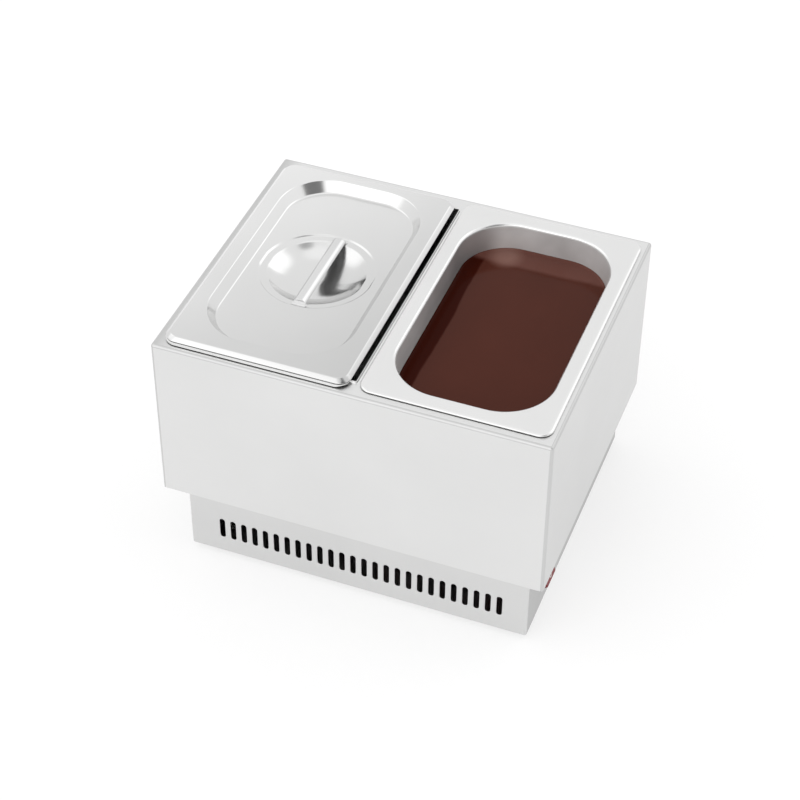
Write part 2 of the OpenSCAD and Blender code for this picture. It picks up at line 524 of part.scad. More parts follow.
module lid_handle() color([0.9, 0.9, 0.9]) {
  sag = 2.6;
  R = (strap_w * strap_w / 4 + sag * sag) / (2 * sag);
  am = asin(strap_w / 2 / R);
  bow = [for (k = [-6:6]) [R * sin(am * k / 6), sag - R + R * cos(am * k / 6)]];
  // bowed strap across the dish
  translate([strap_x, dc[1] + 45.3, pnl_z]) rotate([90, 0, 0]) linear_extrude(90.6) polygon(concat(bow,
    [for (k = [6:-1:-6]) [(R - 1) * sin(am * k / 6), sag - R + (R - 1) * cos(am * k / 6)]]));
  // end walls and welded tabs on the ring
  for (s = [-1, 1]) {
    translate([strap_x, dc[1] + s * 44.8 + 0.5, pnl_z]) rotate([90, 0, 0]) linear_extrude(1)
      polygon(concat(bow, [[strap_w / 2, ring_z - pnl_z], [-strap_w / 2, ring_z - pnl_z]]));
    translate([strap_x - 7, dc[1] + s * 46 - 1.8, ring_z]) cube([14, 3.6, 1]);
  }
}

upper_housing();
top_deck();
heated_well();
insulation_wrap();
insulation_board();
partition_plate();
partition_rivets();
cable_grommet();
base_wrap();
bottom_cover();
cover_screws();
base_bolts();
base_nuts();
feet();
foot_screws();
foot_nuts();
heater_mat_left();
heater_mat_right();
clamp_plate_left();
clamp_plate_right();
well_studs();
stud_nuts();
temperature_probe();
probe_clip();
thermal_cutout();
terminal_block();
terminal_screws();
earth_stud();
wiring();
switch_housing();
switch_rocker();
controller_case();
controller_lens();
controller_clips();
button_power();
button_set();
button_up();
button_down();
inlet_housing();
inlet_pins();
inlet_screws();
left_pan();
right_pan();
melted_chocolate();
left_lid();
lid_handle();
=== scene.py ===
import bpy
import bmesh
import math
from mathutils import Matrix, Vector
from mathutils.geometry import tessellate_polygon


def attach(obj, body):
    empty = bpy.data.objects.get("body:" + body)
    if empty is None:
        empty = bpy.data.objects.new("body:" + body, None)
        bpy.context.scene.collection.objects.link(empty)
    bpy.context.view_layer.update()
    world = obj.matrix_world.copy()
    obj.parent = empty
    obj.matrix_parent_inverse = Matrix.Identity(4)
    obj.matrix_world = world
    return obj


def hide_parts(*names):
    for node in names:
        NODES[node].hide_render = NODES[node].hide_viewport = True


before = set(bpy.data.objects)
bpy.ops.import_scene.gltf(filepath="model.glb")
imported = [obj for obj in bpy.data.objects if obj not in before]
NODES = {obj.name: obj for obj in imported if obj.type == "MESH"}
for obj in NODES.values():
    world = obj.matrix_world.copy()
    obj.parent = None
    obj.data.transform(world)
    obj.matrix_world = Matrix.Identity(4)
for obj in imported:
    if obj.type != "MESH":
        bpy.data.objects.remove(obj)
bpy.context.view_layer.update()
scene = bpy.context.scene

# ---------------------------------------------------------------- sizes, mm
W, D = 345.0, 280.0            # housing
HX, HY = W / 2, D / 2
Z0, Z1, Z2 = 5.0, 68.0, 230.0  # base's lower edge, housing's lower edge, deck
ER = 2.5                       # upright corners and deck edge
BX0, BX1, BY0, BY1 = -150.5, 159.5, -136.0, 130.0
RIM = 232.8                    # top of the pan flanges
COLLAR = 231.9                 # top of the collars round the cut-outs
LP, RP, LD = (-83.5, -2.5), (86.0, 0.8), (-83.5, -2.5)
PC, DC = (-83.6, 0.2), (-83.6, 1.7)   # sunk panel and dish of the lid
PW, PL, PR = 162.0, 265.0, 11.0
LW, LL = 163.0, 262.0
MW, ML, MR = 133.5, 235.0, 45.0
LIDZ, PNLZ, RINGZ = 236.8, 227.8, 226.3
CHOC = 206.8
CUT = [(-152.8, 1.7), (9.7, 164.2)]
CY0, CY1 = -123.0, 121.5
SWY, SWZ, SWX = -90.0, 41.0, 157.0
CTY, CTZ = 25.0, 41.0
INX, INZ, INY = 60.0, 36.0, 130.0
FEET = [(x, y) for x in (BX0 + 24, BX1 - 24) for y in (BY0 + 28, BY1 - 28)]
BMX, BMY = (BX0 + BX1) / 2, (BY0 + BY1) / 2
COVER = [(BX0 + 8, BMY - 85), (BX0 + 8, BMY + 85), (BX1 - 8, BMY - 85), (BX1 - 8, BMY + 85), (BMX, BY0 + 8), (BMX, BY1 - 8)]
RIVETS = [(sx * (HX - 5.6), y) for sx in (-1, 1) for y in (-105, -35, 35, 105)]


# ---------------------------------------------------------------- mesh helpers
class Build:
    """Vertices and faces in millimetres, made into one piece in metres."""

    def __init__(self):
        self.v, self.f, self.m = [], [], []
        self.mat = 0            # material slot of the faces made next

    def add(self, pts):
        i = len(self.v)
        self.v += [tuple(map(float, p)) for p in pts]
        return list(range(i, len(self.v)))

    def face(self, idx, flip=False):
        self.f.append(tuple(reversed(idx)) if flip else tuple(idx))
        self.m.append(self.mat)

    def strip(self, a, b, closed=True, skip=(), flip=False):
        n = len(a)
        for i in range(n if closed else n - 1):
            if i in skip:
                continue
            j = (i + 1) % n
            self.face((a[i], a[j], b[j], b[i]), flip)

    def loft(self, rings, closed=True, loop=False, flip=False):
        ids = [self.add(r) for r in rings]
        for k in range(len(ids) - 1):
            self.strip(ids[k], ids[k + 1], closed, flip=flip)
        if loop:
            self.strip(ids[-1], ids[0], closed, flip=flip)
        return ids

    def holed(self, outer, holes, axes, flip=False):
        """Fills a flat outline that has holes; axes are the two coordinates that span it."""
        loops = [outer] + list(holes)
        flat = [i for l in loops for i in l]
        pts = [[Vector((self.v[i][axes[0]], self.v[i][axes[1]], 0)) for i in l] for l in loops]
        for t in tessellate_polygon(pts):
            self.face([flat[k] for k in t], flip)

    def fan(self, ring, centre, flip=False):
        c = self.add([centre])[0]
        n = len(ring)
        for i in range(n):
            self.face((ring[i], ring[(i + 1) % n], c), flip)

    def lathe(self, profile, centre, axis="z", n=40, cap0=False, cap1=False):
        rings = []
        for r, h in profile:
            ring = []
            for k in range(n):
                a = 2 * math.pi * k / n
                c, s = r * math.cos(a), r * math.sin(a)
                p = {"z": (c, s, h), "x": (h, c, s), "y": (s, h, c)}[axis]
                ring.append(tuple(centre[i] + p[i] for i in range(3)))
            rings.append(ring)
        ids = self.loft(rings)
        if cap0:
            self.face(list(reversed(ids[0])))
        if cap1:
            self.face(ids[-1])
        return ids

    def piece(self, name, material, body, replaces=(), angle=38, recalc=True, weighted=True):
        bm = bmesh.new()
        vs = [bm.verts.new((x * 0.001, y * 0.001, z * 0.001)) for x, y, z in self.v]
        for f, slot_no in zip(self.f, self.m):
            idx = []
            for i in f:
                if i not in idx:
                    idx.append(i)
            if len(idx) < 3:
                continue
            try:
                bm.faces.new([vs[i] for i in idx]).material_index = slot_no
            except ValueError:
                pass
        bmesh.ops.remove_doubles(bm, verts=bm.verts, dist=2e-6)
        bmesh.ops.dissolve_degenerate(bm, edges=bm.edges, dist=1e-7)
        loose = [v for v in bm.verts if not v.link_faces]
        bmesh.ops.delete(bm, geom=loose, context="VERTS")
        if recalc:
            bmesh.ops.recalc_face_normals(bm, faces=bm.faces)
        for f in bm.faces:
            f.smooth = True
        for e in bm.edges:
            if len(e.link_faces) != 2 or e.calc_face_angle(0.0) > math.radians(angle):
                e.smooth = False
        me = bpy.data.meshes.new(name)
        bm.to_mesh(me)
        bm.free()
        for mt in (material if isinstance(material, (list, tuple)) else [material]):
            me.materials.append(mt)
        o = bpy.data.objects.new(name, me)
        scene.collection.objects.link(o)
        if weighted:
            m = o.modifiers.new("normals", "WEIGHTED_NORMAL")
            m.keep_sharp = True
            m.weight = 80
        if replaces:
            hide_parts(*replaces)
        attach(o, body)
        return o


def ring(cx, cy, w, d, r, z, n=8):
    """Points anticlockwise round a rectangle with round corners; n steps in each corner."""
    r = max(r, 0.02)
    out = []
    for k, (sx, sy) in enumerate(((1, 1), (-1, 1), (-1, -1), (1, -1))):
        for i in range(n + 1):
            a = math.radians(90 * k + 90 * i / n)
            out.append((cx + sx * (w / 2 - r) + r * math.cos(a), cy + sy * (d / 2 - r) + r * math.sin(a), z))
    return out


def turn(pts, to):
    """Points drawn in x, y, depth moved onto an upright face: 'x' faces +X, 'y' faces +Y."""
    if to == "x":
        return [(h, x, y) for x, y, h in pts]
    return [(-x, h, y) for x, y, h in pts]


# ---------------------------------------------------------------- materials
def new_mat(name):
    m = bpy.data.materials.new(name)
    m.use_nodes = True
    nt = m.node_tree
    b = nt.nodes["Principled BSDF"]
    return m, nt, b


def coords(nt, scale):
    tc = nt.nodes.new("ShaderNodeTexCoord")
    mp = nt.nodes.new("ShaderNodeMapping")
    mp.inputs["Scale"].default_value = scale
    nt.links.new(tc.outputs["Object"], mp.inputs["Vector"])
    return mp.outputs["Vector"]


def noise(nt, vec, scale, detail=4.0, rough=0.55):
    n = nt.nodes.new("ShaderNodeTexNoise")
    n.inputs["Scale"].default_value = scale
    n.inputs["Detail"].default_value = detail
    n.inputs["Roughness"].default_value = rough
    nt.links.new(vec, n.inputs["Vector"])
    return n.outputs["Fac"]


def ramp(nt, fac, a, b, lo=0.3, hi=0.7):
    r = nt.nodes.new("ShaderNodeValToRGB")
    r.color_ramp.elements[0].position, r.color_ramp.elements[1].position = lo, hi
    r.color_ramp.elements[0].color = (*a, 1)
    r.color_ramp.elements[1].color = (*b, 1)
    nt.links.new(fac, r.inputs["Fac"])
    return r.outputs["Color"]


def span(nt, fac, lo, hi):
    m = nt.nodes.new("ShaderNodeMapRange")
    m.inputs["From Min"].default_value, m.inputs["From Max"].default_value = 0.3, 0.7
    m.inputs["To Min"].default_value, m.inputs["To Max"].default_value = lo, hi
    nt.links.new(fac, m.inputs["Value"])
    return m.outputs["Result"]


def bump(nt, height, strength, dist, normal=None):
    b = nt.nodes.new("ShaderNodeBump")
    b.inputs["Strength"].default_value = strength
    b.inputs["Distance"].default_value = dist
    nt.links.new(height, b.inputs["Height"])
    if normal is not None:
        nt.links.new(normal, b.inputs["Normal"])
    return b.outputs["Normal"]


def steel(name, grain, lo, hi, rough=(0.26, 0.36), grain_strength=0.10, wave=0.02, metal=1.0, cloud_scale=9.0, painted_shade_drift=None):
    """Brushed sheet: grain is the noise's scale in x, y and z, small along the brushing. The optional drift of the
    colour across the sheet, given in x, in y and at the origin, is painted light and shade.
    """
    m, nt, b = new_mat(name)
    g = noise(nt, coords(nt, grain), 1.0, 3.0, 0.6)
    cloud = noise(nt, coords(nt, (1, 1, 1)), cloud_scale, 3.0, 0.5)
    # painted light and shade: the colour drifts across the sheet
    if painted_shade_drift:
        d = nt.nodes.new("ShaderNodeVectorMath")
        d.operation = "DOT_PRODUCT"
        nt.links.new(coords(nt, (1, 1, 1)), d.inputs[0])
        d.inputs[1].default_value = (painted_shade_drift[0], painted_shade_drift[1], 0)
        k = nt.nodes.new("ShaderNodeMath")
        k.operation = "MULTIPLY_ADD"
        nt.links.new(cloud, k.inputs[0])
        k.inputs[1].default_value = 0.3
        nt.links.new(d.outputs["Value"], k.inputs[2])
        k2 = nt.nodes.new("ShaderNodeMath")
        k2.operation = "ADD"
        nt.links.new(k.outputs[0], k2.inputs[0])
        k2.inputs[1].default_value = painted_shade_drift[2]
        nt.links.new(ramp(nt, k2.outputs[0], lo, hi, 0.0, 1.0), b.inputs["Base Color"])
    else:
        nt.links.new(ramp(nt, cloud, lo, hi), b.inputs["Base Color"])
    nt.links.new(span(nt, g, *rough), b.inputs["Roughness"])
    n1 = bump(nt, cloud, wave, 0.01)
    nt.links.new(bump(nt, g, grain_strength, 0.0004, n1), b.inputs["Normal"])
    b.inputs["Metallic"].default_value = metal
    return m


def plastic(name, a, c, rough=(0.4, 0.5), grain=2500.0, strength=0.15, coat=0.0):
    m, nt, b = new_mat(name)
    g = noise(nt, coords(nt, (1, 1, 1)), grain, 2.0, 0.5)
    cloud = noise(nt, coords(nt, (1, 1, 1)), 60.0, 3.0, 0.5)
    nt.links.new(ramp(nt, cloud, a, c), b.inputs["Base Color"])
    nt.links.new(span(nt, cloud, *rough), b.inputs["Roughness"])
    nt.links.new(bump(nt, g, strength, 0.0002), b.inputs["Normal"])
    b.inputs["Coat Weight"].default_value = coat
    return m


M_WALL = steel("steel_wall", (18, 18, 2600), (0.73, 0.73, 0.727), (0.755, 0.755, 0.752), (0.32, 0.40), 0.06, 0.01)
# darker copies of the housing steel for the back, left and right sheets and for the bent corners: painted shade
M_SIDE_SHADE = steel("steel_side_painted_shade", (18, 18, 2600), (0.655, 0.655, 0.652), (0.68, 0.68, 0.677), (0.32, 0.40), 0.06, 0.01)
M_CORNER_SHADE = steel("steel_corner_painted_shade", (18, 18, 2600), (0.585, 0.585, 0.583), (0.61, 0.61, 0.608), (0.34, 0.42), 0.06, 0.01)
# darker copy of the base steel for the base's right, back and left walls: painted shade under the housing's overhang
M_BASE_SIDE_SHADE = steel("steel_base_side_painted_shade", (18, 18, 2600), (0.465, 0.465, 0.463), (0.49, 0.49, 0.488), (0.34, 0.42), 0.06, 0.01)
# deck steel darker along its left strip by a drift of the colour: painted shade
M_DECK = steel("steel_deck", (25, 2200, 25), (0.55, 0.55, 0.548), (0.74, 0.74, 0.737), (0.30, 0.38), 0.06, 0.01, painted_shade_drift=(60, 0, 10.13))
# darker copy of the deck steel for its rolled outer edge: painted shade that tones down the edge's highlight
M_DECK_EDGE_SHADE = steel("steel_deck_edge_painted_shade", (25, 25, 25), (0.555, 0.555, 0.553), (0.58, 0.58, 0.578), (0.34, 0.42), 0.04, 0.01)
# base steel a little darker than the housing walls: painted shade under the housing's overhang
M_BASE = steel("steel_base", (18, 18, 2600), (0.66, 0.66, 0.657), (0.685, 0.685, 0.682), (0.34, 0.42), 0.06, 0.01)
M_PAN = steel("steel_pan", (60, 60, 60), (0.755, 0.755, 0.752), (0.79, 0.79, 0.787), (0.20, 0.26), 0.02, 0.008)
# lid steel paler towards the back and left and darker towards the front and right by a drift of the colour: painted
# light and shade
M_LID = steel("steel_lid", (1500, 30, 30), (0.56, 0.56, 0.558), (0.82, 0.82, 0.817), (0.13, 0.18), 0.02, 0.010, painted_shade_drift=(-3.07, 1.91, 0.10))
M_STRAP = steel("steel_strap", (60, 2000, 60), (0.66, 0.66, 0.66), (0.71, 0.71, 0.71), (0.12, 0.18), 0.04, 0.02)
# dark copy of the strap steel for the strap's hollow underside: painted shade
M_STRAP_UNDER_SHADE = steel("steel_strap_underside_painted_shade", (60, 60, 60), (0.22, 0.22, 0.22), (0.30, 0.30, 0.30), (0.5, 0.62), 0.06, 0.02)
M_INNER = steel("steel_inner", (40, 40, 900), (0.50, 0.50, 0.495), (0.60, 0.60, 0.595), (0.36, 0.48), 0.12, 0.05)
M_ZINC = steel("zinc", (200, 200, 200), (0.62, 0.62, 0.58), (0.74, 0.73, 0.68), (0.28, 0.42), 0.12, 0.05)
M_BRASS = steel("brass", (200, 200, 200), (0.68, 0.52, 0.22), (0.80, 0.64, 0.30), (0.22, 0.34), 0.10, 0.05)
M_BLACK = plastic("plastic_black", (0.012, 0.012, 0.013), (0.022, 0.022, 0.023), (0.38, 0.5))
# rocker red darkened to how it looks in the housing's shade: painted shade
M_RED = plastic("plastic_red", (0.17, 0.008, 0.012), (0.21, 0.011, 0.015), (0.34, 0.42), 1200.0, 0.05)
M_LENS = plastic("window_dark", (0.012, 0.003, 0.003), (0.02, 0.005, 0.005), (0.06, 0.10), 900.0, 0.02, 0.6)
M_BTNG = plastic("button_grey", (0.50, 0.50, 0.50), (0.58, 0.58, 0.58), (0.3, 0.4), 1500.0, 0.08)
M_BTNR = plastic("button_red", (0.42, 0.03, 0.025), (0.5, 0.04, 0.03), (0.3, 0.4), 1500.0, 0.08)
M_ORANGE = plastic("plastic_orange", (0.6, 0.2, 0.03), (0.7, 0.26, 0.04))
M_WHITE = plastic("plastic_white", (0.70, 0.70, 0.66), (0.78, 0.78, 0.74))
M_WIRE = plastic("wire_cover", (0.30, 0.04, 0.03), (0.38, 0.06, 0.04))
M_MAT = plastic("silicone", (0.48, 0.14, 0.06), (0.56, 0.18, 0.08), (0.5, 0.6), 900.0, 0.4)
M_RUBBER = plastic("rubber", (0.012, 0.012, 0.012), (0.022, 0.022, 0.022), (0.6, 0.75), 1800.0, 0.3)
M_WOOL = plastic("mineral_wool", (0.62, 0.58, 0.40), (0.78, 0.74, 0.56), (0.85, 0.95), 500.0, 0.9)


def glow_mat():
    """Lit numbers of the display."""
    m, nt, b = new_mat("display_glow")
    g = noise(nt, coords(nt, (1, 1, 1)), 300.0, 2.0, 0.5)
    nt.links.new(ramp(nt, g, (0.75, 0.03, 0.015), (0.9, 0.05, 0.025)), b.inputs["Base Color"])
    b.inputs["Emission Color"].default_value = (1.0, 0.05, 0.02, 1)
    b.inputs["Emission Strength"].default_value = 0.9
    b.inputs["Roughness"].default_value = 0.4
    return m


M_GLOW = glow_mat()


def chocolate_mat():
    """Glossy melted chocolate with painted light: a paler band along the back painted as the back wall's reflection, a
    painted shade along the left wall and a painted highlight in the back left corner.
    """
    m, nt, b = new_mat("chocolate")
    cloud = noise(nt, coords(nt, (1, 0.6, 1)), 16.0, 4.0, 0.55)
    ripple = noise(nt, coords(nt, (1, 0.7, 1)), 26.0, 2.0, 0.4)
    sway = noise(nt, coords(nt, (1, 1, 1)), 22.0, 2.0, 0.5)
    tc = nt.nodes.new("ShaderNodeTexCoord")
    sep = nt.nodes.new("ShaderNodeSeparateXYZ")
    nt.links.new(tc.outputs["Object"], sep.inputs[0])

    def zone(axis, a, c):
        """1 past c, 0 before a, with an uneven edge."""
        shift = nt.nodes.new("ShaderNodeMath")
        shift.operation = "MULTIPLY_ADD"
        nt.links.new(sway, shift.inputs[0])
        shift.inputs[1].default_value = 0.006
        nt.links.new(sep.outputs[axis], shift.inputs[2])
        r = nt.nodes.new("ShaderNodeMapRange")
        r.interpolation_type = "SMOOTHSTEP"
        r.inputs["From Min"].default_value, r.inputs["From Max"].default_value = a + 0.003, c + 0.003
        nt.links.new(shift.outputs[0], r.inputs["Value"])
        return r.outputs["Result"]

    def blend(fac, a, c):
        x = nt.nodes.new("ShaderNodeMix")
        x.data_type = "RGBA"
        nt.links.new(fac, x.inputs["Factor"])
        nt.links.new(a, x.inputs["A"])
        nt.links.new(c, x.inputs["B"])
        return x.outputs["Result"]
    # dark colour: painted shade along the left wall; pale colour: painted reflection of the back wall in a band along
    # the back
    main = ramp(nt, cloud, (0.064, 0.0150, 0.0080), (0.074, 0.0175, 0.0095))
    dark = ramp(nt, cloud, (0.029, 0.0028, 0.0004), (0.036, 0.0036, 0.0007))
    pale = ramp(nt, cloud, (0.118, 0.0440, 0.0330), (0.132, 0.0520, 0.0400))
    open_part = zone("X", 0.0345, 0.0372)
    col = blend(open_part, dark, main)
    col = blend(zone("Y", 0.090, 0.097), col, pale)
    far = nt.nodes.new("ShaderNodeVectorMath")        # painted highlight in the back left corner, standing in for the back wall's reflection
    far.operation = "DISTANCE"
    nt.links.new(tc.outputs["Object"], far.inputs[0])
    far.inputs[1].default_value = (0.052, 0.104, CHOC * 0.001)
    near = nt.nodes.new("ShaderNodeMapRange")
    near.interpolation_type = "SMOOTHSTEP"
    near.inputs["From Min"].default_value, near.inputs["From Max"].default_value = 0.020, 0.004
    nt.links.new(far.outputs["Value"], near.inputs["Value"])
    painted_highlight_col = ramp(nt, cloud, (0.200, 0.1000, 0.0800), (0.220, 0.1120, 0.0900))
    nt.links.new(blend(near.outputs["Result"], col, painted_highlight_col), b.inputs["Base Color"])
    nt.links.new(span(nt, cloud, 0.08, 0.13), b.inputs["Roughness"])
    nt.links.new(bump(nt, ripple, 0.05, 0.004), b.inputs["Normal"])
    # lower specular level in the painted shade along the left wall
    nt.links.new(span(nt, open_part, 0.03, 0.10), b.inputs["Specular IOR Level"])
    b.inputs["IOR"].default_value = 1.47
    return m


M_CHOC = chocolate_mat()


def pan_inside_mat():
    """Satin inner walls of the pans, darker at the back of the left wall and paler, less metallic towards the front and
    on the back wall: painted shade and painted sheen.
    """
    m, nt, b = new_mat("steel_pan_inside")
    g = noise(nt, coords(nt, (40, 40, 700)), 1.0, 3.0, 0.6)
    cloud = noise(nt, coords(nt, (1, 1, 1)), 17.0, 3.0, 0.5)
    tc = nt.nodes.new("ShaderNodeTexCoord")
    sep = nt.nodes.new("ShaderNodeSeparateXYZ")
    nt.links.new(tc.outputs["Object"], sep.inputs[0])

    def along(axis, a, c):
        r = nt.nodes.new("ShaderNodeMapRange")
        r.interpolation_type = "SMOOTHSTEP"
        r.inputs["From Min"].default_value, r.inputs["From Max"].default_value = a, c
        nt.links.new(sep.outputs[axis], r.inputs["Value"])
        return r.outputs["Result"]
    # mask of the painted sheen, paler and less metallic towards the front and right of x = 48 mm; elsewhere the darker
    # colour is painted shade
    painted_sheen_mask = nt.nodes.new("ShaderNodeMath")
    painted_sheen_mask.operation = "MAXIMUM"
    nt.links.new(along("Y", 0.085, -0.085), painted_sheen_mask.inputs[0])
    nt.links.new(along("X", 0.026, 0.048), painted_sheen_mask.inputs[1])
    x = nt.nodes.new("ShaderNodeMix")
    x.data_type = "RGBA"
    nt.links.new(painted_sheen_mask.outputs[0], x.inputs["Factor"])
    nt.links.new(ramp(nt, cloud, (0.33, 0.325, 0.325), (0.50, 0.495, 0.495)), x.inputs["A"])
    nt.links.new(ramp(nt, cloud, (0.54, 0.535, 0.53), (0.76, 0.755, 0.75)), x.inputs["B"])
    nt.links.new(x.outputs["Result"], b.inputs["Base Color"])
    met = nt.nodes.new("ShaderNodeMapRange")
    met.inputs["To Min"].default_value, met.inputs["To Max"].default_value = 0.62, 0.36
    nt.links.new(painted_sheen_mask.outputs[0], met.inputs["Value"])
    nt.links.new(met.outputs["Result"], b.inputs["Metallic"])
    nt.links.new(span(nt, g, 0.36, 0.48), b.inputs["Roughness"])
    n1 = bump(nt, cloud, 0.02, 0.01)
    nt.links.new(bump(nt, g, 0.05, 0.0004, n1), b.inputs["Normal"])
    return m


M_PANIN = pan_inside_mat()

# ---------------------------------------------------------------- housing walls
b = Build()
prof = [(0.0, Z1 + 0.4), (0.0, 140.0), (0.0, Z2 - ER), (1.0, Z2 - ER), (1.0, 140.0), (1.0, Z1 + 0.4), (0.88, Z1 + 0.12), (0.6, Z1), (0.4, Z1), (0.12, Z1 + 0.12)]
rows = [b.add(ring(0, 0, W - 2 * i, D - 2 * i, ER - i, z, 8)) for i, z in prof]
for k in range(len(rows)):
    for i in range(36):
        # back, left and right sheets get a darker copy of the steel and the bent corners a darker one still: painted
        # shade on the sides out of the light
        b.mat = 0 if i == 26 else 1 if i in (8, 17, 35) else 2
        j, q = (i + 1) % 36, (k + 1) % len(rows)
        b.face((rows[k][i], rows[k][j], rows[q][j], rows[q][i]))
b.mat = 0
# inward flange that the partition plate is riveted to
fl = [(0.9, Z1 + 1.02), (10.0, Z1 + 1.02), (10.0, Z1 + 2.0), (0.9, Z1 + 2.0)]
b.loft([ring(0, 0, W - 2 * i, D - 2 * i, max(ER - i, 0.3), z, 8) for i, z in fl], loop=True)
b.piece("housing_walls", [M_WALL, M_SIDE_SHADE, M_CORNER_SHADE], "housing", ["upper_housing"])

# ---------------------------------------------------------------- deck
b = Build()
rolls = [math.radians(a) for a in (0, 15, 30, 45, 60, 75, 90)]
outer = [ring(0, 0, W - 2 * ER * (1 - math.cos(a)), D - 2 * ER * (1 - math.cos(a)), ER * math.cos(a) + 0.05, Z2 - ER + ER * math.sin(a), 8) for a in rolls]
ri = ER - 1
inner = [ring(0, 0, W - 2 - 2 * ri * (1 - math.cos(a)), D - 2 - 2 * ri * (1 - math.cos(a)), ri * math.cos(a) + 0.05, Z2 - ER + ri * math.sin(a), 8) for a in rolls]
# rolled outer edge takes the darker copy: painted shade
b.mat = 1
o_ids = b.loft(outer)
b.mat = 0
i_ids = b.loft(inner)
b.strip(o_ids[0], i_ids[0])
tops, unders = [], []
for x0, x1 in CUT:
    cx, cy, cw, cd = (x0 + x1) / 2, (CY0 + CY1) / 2, x1 - x0, CY1 - CY0
    lip = [(2.3, Z2), (1.75, Z2 + 0.07), (1.3, Z2 + 0.3), (1.06, Z2 + 0.7), (1.0, Z2 + 1.1), (1.0, Z2 + 1.4), (0.86, Z2 + 1.74), (0.5, COLLAR),
           (0.14, Z2 + 1.74), (0.0, Z2 + 1.4), (0.0, Z2 - 3), (0.0, Z2 - 7), (1.0, Z2 - 7), (1.0, Z2 - 1.0)]
    ids = b.loft([ring(cx, cy, cw + 2 * k, cd + 2 * k, 0.9 + k, z, 4) for k, z in lip])
    tops.append(ids[0])
    unders.append(ids[-1])
b.holed(o_ids[-1], tops, (0, 1))
b.holed(i_ids[-1], unders, (0, 1))
b.piece("deck", [M_DECK, M_DECK_EDGE_SHADE], "housing", ["top_deck"])

# ---------------------------------------------------------------- base
b = Build()
bw, bd, bcx, bcy = BX1 - BX0, BY1 - BY0, (BX0 + BX1) / 2, (BY0 + BY1) / 2
NB = 6
oz = [(0.4, Z0), (0.12, Z0 + 0.12), (0.0, Z0 + 0.4), (0.0, Z1)]
iz = [(0.6, Z0), (0.88, Z0 + 0.12), (1.0, Z0 + 0.4), (1.0, Z1)]
oring = [b.add(ring(bcx, bcy, bw - 2 * i, bd - 2 * i, 2.0 - i, z, NB)) for i, z in oz]
iring = [b.add(ring(bcx, bcy, bw - 2 * i, bd - 2 * i, 2.0 - i, z, NB)) for i, z in iz]
side = {"back": NB, "left": 2 * NB + 1, "front": 3 * NB + 2, "right": 4 * NB + 3}
for rs in (oring, iring):
    b.strip(rs[0], rs[1])
    b.strip(rs[1], rs[2])
    b.strip(rs[2], rs[3], skip=tuple(side.values()))
b.strip(oring[0], iring[0])
b.strip(oring[3], iring[3])


def wall_face(rs, s):
    k = side[s]
    n = len(rs[2])
    return [rs[2][k], rs[2][(k + 1) % n], rs[3][(k + 1) % n], rs[3][k]]


def stadium(cx, cz, w, l, g, y, n=6):
    r = w / 2 + g
    out = []
    for s in (1, -1):
        for i in range(n + 1):
            a = math.pi * i / n + (0 if s > 0 else math.pi)
            out.append((cx + r * math.cos(a), y, cz + s * (l - w) / 2 + r * math.sin(a)))
    return out


slots_o, slots_i = [], []
for k in range(26):
    cx = 7.2 + (k - 12.5) * 10.19
    lp = [(0.45, BY0), (0.2, BY0 + 0.08), (0.05, BY0 + 0.25), (0.0, BY0 + 0.5), (0.0, BY0 + 1.0)]
    ids = b.loft([stadium(cx, Z0 + 27.5, 5.0, 22.0, g, y) for g, y in lp])
    slots_o.append(ids[0])
    slots_i.append(ids[-1])
b.holed(wall_face(oring, "front"), slots_o, (0, 2))
b.holed(wall_face(iring, "front"), slots_i, (0, 2))


def rect_hole(points_o, points_i):
    o, i = b.add(points_o), b.add(points_i)
    b.strip(o, i)
    return o, i


def yz(x, y0, y1, z0, z1):
    return [(x, y0, z0), (x, y1, z0), (x, y1, z1), (x, y0, z1)]


def xz(y, x0, x1, z0, z1):
    return [(x0, y, z0), (x1, y, z0), (x1, y, z1), (x0, y, z1)]


h1 = rect_hole(yz(BX1, SWY - 12.7, SWY + 12.7, SWZ - 13.9, SWZ + 13.9), yz(BX1 - 1, SWY - 12.7, SWY + 12.7, SWZ - 13.9, SWZ + 13.9))
h2 = rect_hole(yz(BX1, CTY - 35.3, CTY + 35.3, CTZ - 14.4, CTZ + 14.4), yz(BX1 - 1, CTY - 35.3, CTY + 35.3, CTZ - 14.4, CTZ + 14.4))
# right, back and left walls of the base take the darker copy: painted shade
b.mat = 1
b.holed(wall_face(oring, "right"), [h1[0], h2[0]], (1, 2))
b.holed(wall_face(iring, "right"), [h1[1], h2[1]], (1, 2))
h3 = rect_hole(xz(BY1, INX - 13.8, INX + 13.8, INZ - 10.3, INZ + 10.3), xz(BY1 - 1, INX - 13.8, INX + 13.8, INZ - 10.3, INZ + 10.3))
b.holed(wall_face(oring, "back"), [h3[0]], (0, 2))
b.holed(wall_face(iring, "back"), [h3[1]], (0, 2))
for rs in (oring, iring):
    b.face(wall_face(rs, "left"))
b.mat = 0
for z in (Z0 + 1.02, Z1 - 1.0):
    b.loft([ring(bcx, bcy, bw - 2 * i, bd - 2 * i, max(2.0 - i, 0.3), h, NB) for i, h in ((1.0, z), (15.0, z), (15.0, z + 0.98), (1.0, z + 0.98))], loop=True)
b.piece("base_walls", [M_BASE, M_BASE_SIDE_SHADE], "housing", ["base_wrap"])


# ---------------------------------------------------------------- pans
def taper(z):
    return (RIM - z) * 0.07


def pan_ring(c, z, inset, grow=0.0, n=14):
    return ring(c[0], c[1], MW - 2 * inset + 2 * grow, ML - 2 * inset + 2 * grow, MR - inset * 0.55 + grow, z, n)


def flange_ring(c, inset, z, n=14):
    return ring(c[0], c[1], PW - 2 * inset, PL - 2 * inset, PR - inset, z, n)


